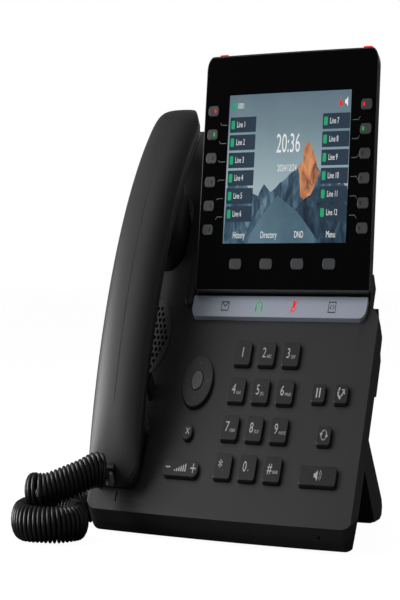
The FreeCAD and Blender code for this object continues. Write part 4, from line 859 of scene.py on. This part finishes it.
# ------------------------------------------------------------------ display front
GT = 0.02
fl = Flat("leader_lines", disp, "display", M["printdim"], "front_glass")
LL = [[(-62.6, 69.8), (-61.5, 68.8), (-56.2, 68.6)], [(-63.1, 62.0), (-61.5, 61.0), (-56.3, 61.0)], [(-63.1, 54), (-61.5, 53.3), (-56.3, 53.3)],
      [(-62.7, 45.2), (-61.5, 45.7), (-56.4, 45.7)], [(-62.8, 37.5), (-61.5, 38.0), (-56.4, 38.0)], [(-62.6, 29.4), (-61.5, 30.4), (-56.5, 30.4)]]
for q in LL:
    fl.line(q, 0.32, GT)
for i, y in enumerate((68.7, 61.0, 53.4, 45.8, 38.0, 30.3)):
    yk = 74.65 - 9.94 * i
    d = 1.2 if yk > y else -1.2
    fl.line([(57.4, y), (62.2, y), (63.6, y + d)], 0.32, GT)
fl.done()
LT = 0.9 + 0.03
for i in range(6):
    for sd, sx in (("l", -1), ("r", 1)):
        n = "line_key_%s%d" % (sd, i + 1)
        y = 74.65 - 9.94 * i
        mt = M["red"] if i == 0 else M["green"] if i == 1 else M["black"]
        fl = Flat(n + "_mark", disp, BODY[n], mt, "line_keys")
        x0 = -67.6 if sx < 0 else 66.9
        fl.disc(x0, y, 0.95 if i < 2 else 0.85, LT)
        fl.done()

# the picture, in layers over the panel
Z0 = -2.65


def pic(name, mat):
    return Flat(name, disp, "display", mat, "picture")


ridge_far = [(-55.2, 43.0), (-50, 45.5), (-45, 43.5), (-40, 45.8), (-35, 43.2), (-29.8, 40.4), (-25.5, 39.5), (-24.3, 41.1), (-21.4, 43.6), (-20.5, 44.4), (-16.1, 41.9), (-14.2, 41),
             (-9.8, 42.6), (-6.4, 44.6), (-1.1, 46.2), (3.2, 48.5), (9.3, 50.5), (13.0, 53.0), (15, 49), (27, 51), (31, 48.0), (36, 45.5), (41, 46.5), (46, 43.5), (50, 44.2), (55.2, 41.0)]
fl = pic("picture_far_ridge", M["slope"])
for a, b in zip(ridge_far, ridge_far[1:]):
    fl.poly([(a[0], 19.5), (b[0], 19.5), b, a], Z0 + 0.04)
fl.done()
peak = [(18.5, 61.8), (16.9, 60.6), (14.7, 59), (14.1, 56), (13.6, 52.9), (11.2, 52.2), (9.3, 50.9), (11.4, 47.6), (12.0, 43), (12.7, 39), (15.8, 37.4), (21.1, 38.7), (25.1, 43.1), (28.8, 48.4),
        (26.6, 51.3), (25.5, 54.3), (23.2, 56.4), (21, 58.8)]
pic("picture_peak_rock", M["peak"]).poly(peak, Z0 + 0.08).done()
fl = pic("picture_valley_water", M["water"])
fl.poly([(-34, 19.5), (28, 19.5), (26.0, 24.0), (10, 33.0), (-7.7, 39.5), (-18, 33.5), (-31, 24.0)], Z0 + 0.1).done()
front = [(9.0, 33.5), (14.0, 36.5), (17, 38.2), (22, 39.5), (28, 43.5), (33, 40.0), (40, 37), (47, 38.5), (55.2, 34)]
fl = pic("picture_near_ridge", M["slope2"])
for (x0, y0), (x1, y1) in zip(front, front[1:]):
    b0, b1 = max(19.5, 34.0 - (x0 - 9.0) * 0.62), max(19.5, 34.0 - (x1 - 9.0) * 0.62)
    fl.poly([(x0, b0), (x1, b1), (x1, y1), (x0, y0)], Z0 + 0.12)
fl.done()
tiles = pic("picture_tiles", M["tile"])
marks = pic("picture_green_marks", M["sgreen"])
wt = pic("picture_white_text", M["white"])
words = [("Line 1", "Line 7"), ("Line 2", "Line 8"), ("Line 3", "Line 9"), ("Line 4", "Line 10"), ("Line 5", "Line 11"), ("Line 6", "Line 12")]
for i in range(6):
    y1 = 72.6 - 7.43 * i
    y0 = y1 - 6.45
    for k, x0 in enumerate((-54.4, 30.1)):
        tiles.rect(x0, x0 + 24.0, y0, y1, Z0 + 0.16, 0.5)
        marks.rect(x0 + 1.1, x0 + 4.3, y0 + 1.5, y1 - 1.4, Z0 + 0.2, 0.6)
        wt.text(words[i][k], x0 + 6.2, (y0 + y1) / 2, 3.5, Z0 + 0.2, align="LEFT", sx=0.95)
marks.rect(-53.0, -49.6, 75.6, 78.7, Z0 + 0.2, 0.6)
wt.text("1001", -48.6, 77.2, 3.4, Z0 + 0.2, align="LEFT")
wt.text("20:36", 0.0, 60.5, 11.2, Z0 + 0.2, sx=0.88)
wt.text("2024/12/24", -0.3, 50.6, 3.9, Z0 + 0.2, sx=0.98)
for t, x in (("History", -41.5), ("Directory", -14.2), ("DND", 12.9), ("Menu", 41.1)):
    wt.text(t, x, 23.4, 3.9, Z0 + 0.2, sx=0.95)
wt.poly([(49.1, 76.3), (50.2, 76.3), (51.7, 75.0), (51.7, 79.2), (50.2, 77.9), (49.1, 77.9)], Z0 + 0.2)
tiles.done()
marks.done()
wt.done()
fl = pic("picture_red_sign", M["red"])
fl.poly([(43.6, 75.4), (47.4, 75.4), (45.5, 79.0)], Z0 + 0.2).done()


def top_edge(x, z, h):
    return disp(x, 98.2 + h, z)


for tag, lx in (("left", -63.1), ("right", 67.5)):
    puck("alert_lamp_lens_" + tag, lx, -3.15, 7.8, 2.9, 0.5, [(-0.3, 0.0), (0.85, 0.0), (1.1, 0.12), (1.2, 0.4)], M["red"], "display", top_edge)

# ------------------------------------------------------------------ floor, light, camera
fm, nt, b = nodes_of("pale_floor")
tc = nt.nodes.new("ShaderNodeTexCoord")
n1 = nt.nodes.new("ShaderNodeTexNoise")
n1.inputs["Scale"].default_value = 3
nt.links.new(tc.outputs["Object"], n1.inputs["Vector"])
r = nt.nodes.new("ShaderNodeValToRGB")
r.color_ramp.elements[0].color = (0.15, 0.15, 0.15, 1)
r.color_ramp.elements[1].color = (0.17, 0.17, 0.17, 1)
nt.links.new(n1.outputs["Fac"], r.inputs["Fac"])
lp = nt.nodes.new("ShaderNodeLightPath")
fmx = nt.nodes.new("ShaderNodeMixRGB")
fmx.inputs["Color1"].default_value = (0.14, 0.14, 0.14, 1)
nt.links.new(lp.outputs["Is Camera Ray"], fmx.inputs["Fac"])
nt.links.new(r.outputs["Color"], fmx.inputs["Color2"])
nt.links.new(fmx.outputs["Color"], b.inputs["Base Color"])
b.inputs["Roughness"].default_value = 0.9
b.inputs["Specular IOR Level"].default_value = 0.1
b.inputs["Emission Color"].default_value = (1, 1, 1, 1)
lp = nt.nodes.new("ShaderNodeLightPath")
mu = nt.nodes.new("ShaderNodeMath")
mu.operation = "MULTIPLY"
mu.inputs[1].default_value = 0.965
nt.links.new(lp.outputs["Is Camera Ray"], mu.inputs[0])
nt.links.new(mu.outputs[0], b.inputs["Emission Strength"])
me = bpy.data.meshes.new("floor")
me.from_pydata([(-12, -12, -0.0002), (12, -12, -0.0002), (12, 12, -0.0002), (-12, 12, -0.0002)], [], [[0, 1, 2, 3]])
me.materials.append(fm)
floor = bpy.data.objects.new("floor", me)
sc.collection.objects.link(floor)

w = bpy.data.worlds.new("studio")
sc.world = w
w.use_nodes = True
nt = w.node_tree
bg = nt.nodes["Background"]
lp = nt.nodes.new("ShaderNodeLightPath")
mx = nt.nodes.new("ShaderNodeMix")
mx.data_type = "FLOAT"
mx.inputs["A"].default_value = 0.11
mx.inputs["B"].default_value = 1.0
nt.links.new(lp.outputs["Is Camera Ray"], mx.inputs["Factor"])
nt.links.new(mx.outputs["Result"], bg.inputs["Strength"])
bg.inputs["Color"].default_value = (1, 1, 1, 1)


def area(name, loc, at, size, energy, col=(1, 1, 1)):
    ld = bpy.data.lights.new(name, "AREA")
    ld.shape = "RECTANGLE"
    ld.size, ld.size_y = size
    ld.energy = energy
    ld.color = col
    o = bpy.data.objects.new(name, ld)
    o.location = loc
    o.rotation_mode = "QUATERNION"
    o.rotation_quaternion = (Vector(at) - Vector(loc)).to_track_quat("-Z", "Y")
    sc.collection.objects.link(o)
    return o


area("key_light", (-1.15, -0.36, 0.45), (-0.05, 0.05, 0.10), (0.8, 0.9), 19.0)
area("front_light", (0.25, -1.3, 0.75), (0.0, 0.05, 0.08), (0.9, 0.5), 0.6)
area("right_light", (0.95, 0.05, 0.35), (0.05, 0.05, 0.08), (0.4, 0.6), 0.15)
area("top_light", (-0.75, -0.05, 1.15), (0.0, 0.06, 0.1), (0.9, 0.6), 1.0)
area("back_light", (0.1, 1.2, 0.6), (0.0, 0.1, 0.1), (1.2, 0.5), 1.5)

sc.view_settings.view_transform = "Standard"
cd = bpy.data.cameras.new("photo_camera")
co = bpy.data.objects.new("photo_camera", cd)
sc.collection.objects.link(co)
az, el = math.radians(25.295), math.radians(0.614)
back = Vector((math.sin(az) * math.cos(el), -math.cos(az) * math.cos(el), math.sin(el)))
right = Vector((math.cos(az), math.sin(az), 0))
up = back.cross(right)
CAM = Vector((0.4194, -0.9094, 0.1008))
co.rotation_mode = "QUATERNION"
co.matrix_world = Matrix.Translation(CAM) @ Matrix((right, up, back)).transposed().to_4x4()
cd.sensor_width = 36
cd.lens = 42.6
cd.clip_start = 0.01
cd.clip_end = 50
cd.type = "PANO"
cd.panorama_type = "EQUIRECTANGULAR"
cd.latitude_min, cd.latitude_max = -math.radians(6.27), math.radians(6.27)
cd.longitude_min, cd.longitude_max = -math.radians(8.97), math.radians(8.97)
dr = cd.driver_add("type").driver
dr.type = "SCRIPTED"
va = dr.variables.new()
va.name = "x"
va.type = "SINGLE_PROP"
va.targets[0].id = co
va.targets[0].data_path = "location[0]"
dr.expression = "2 if abs(x-%.4f)<0.001 else 0" % CAM.x
sc.camera = co
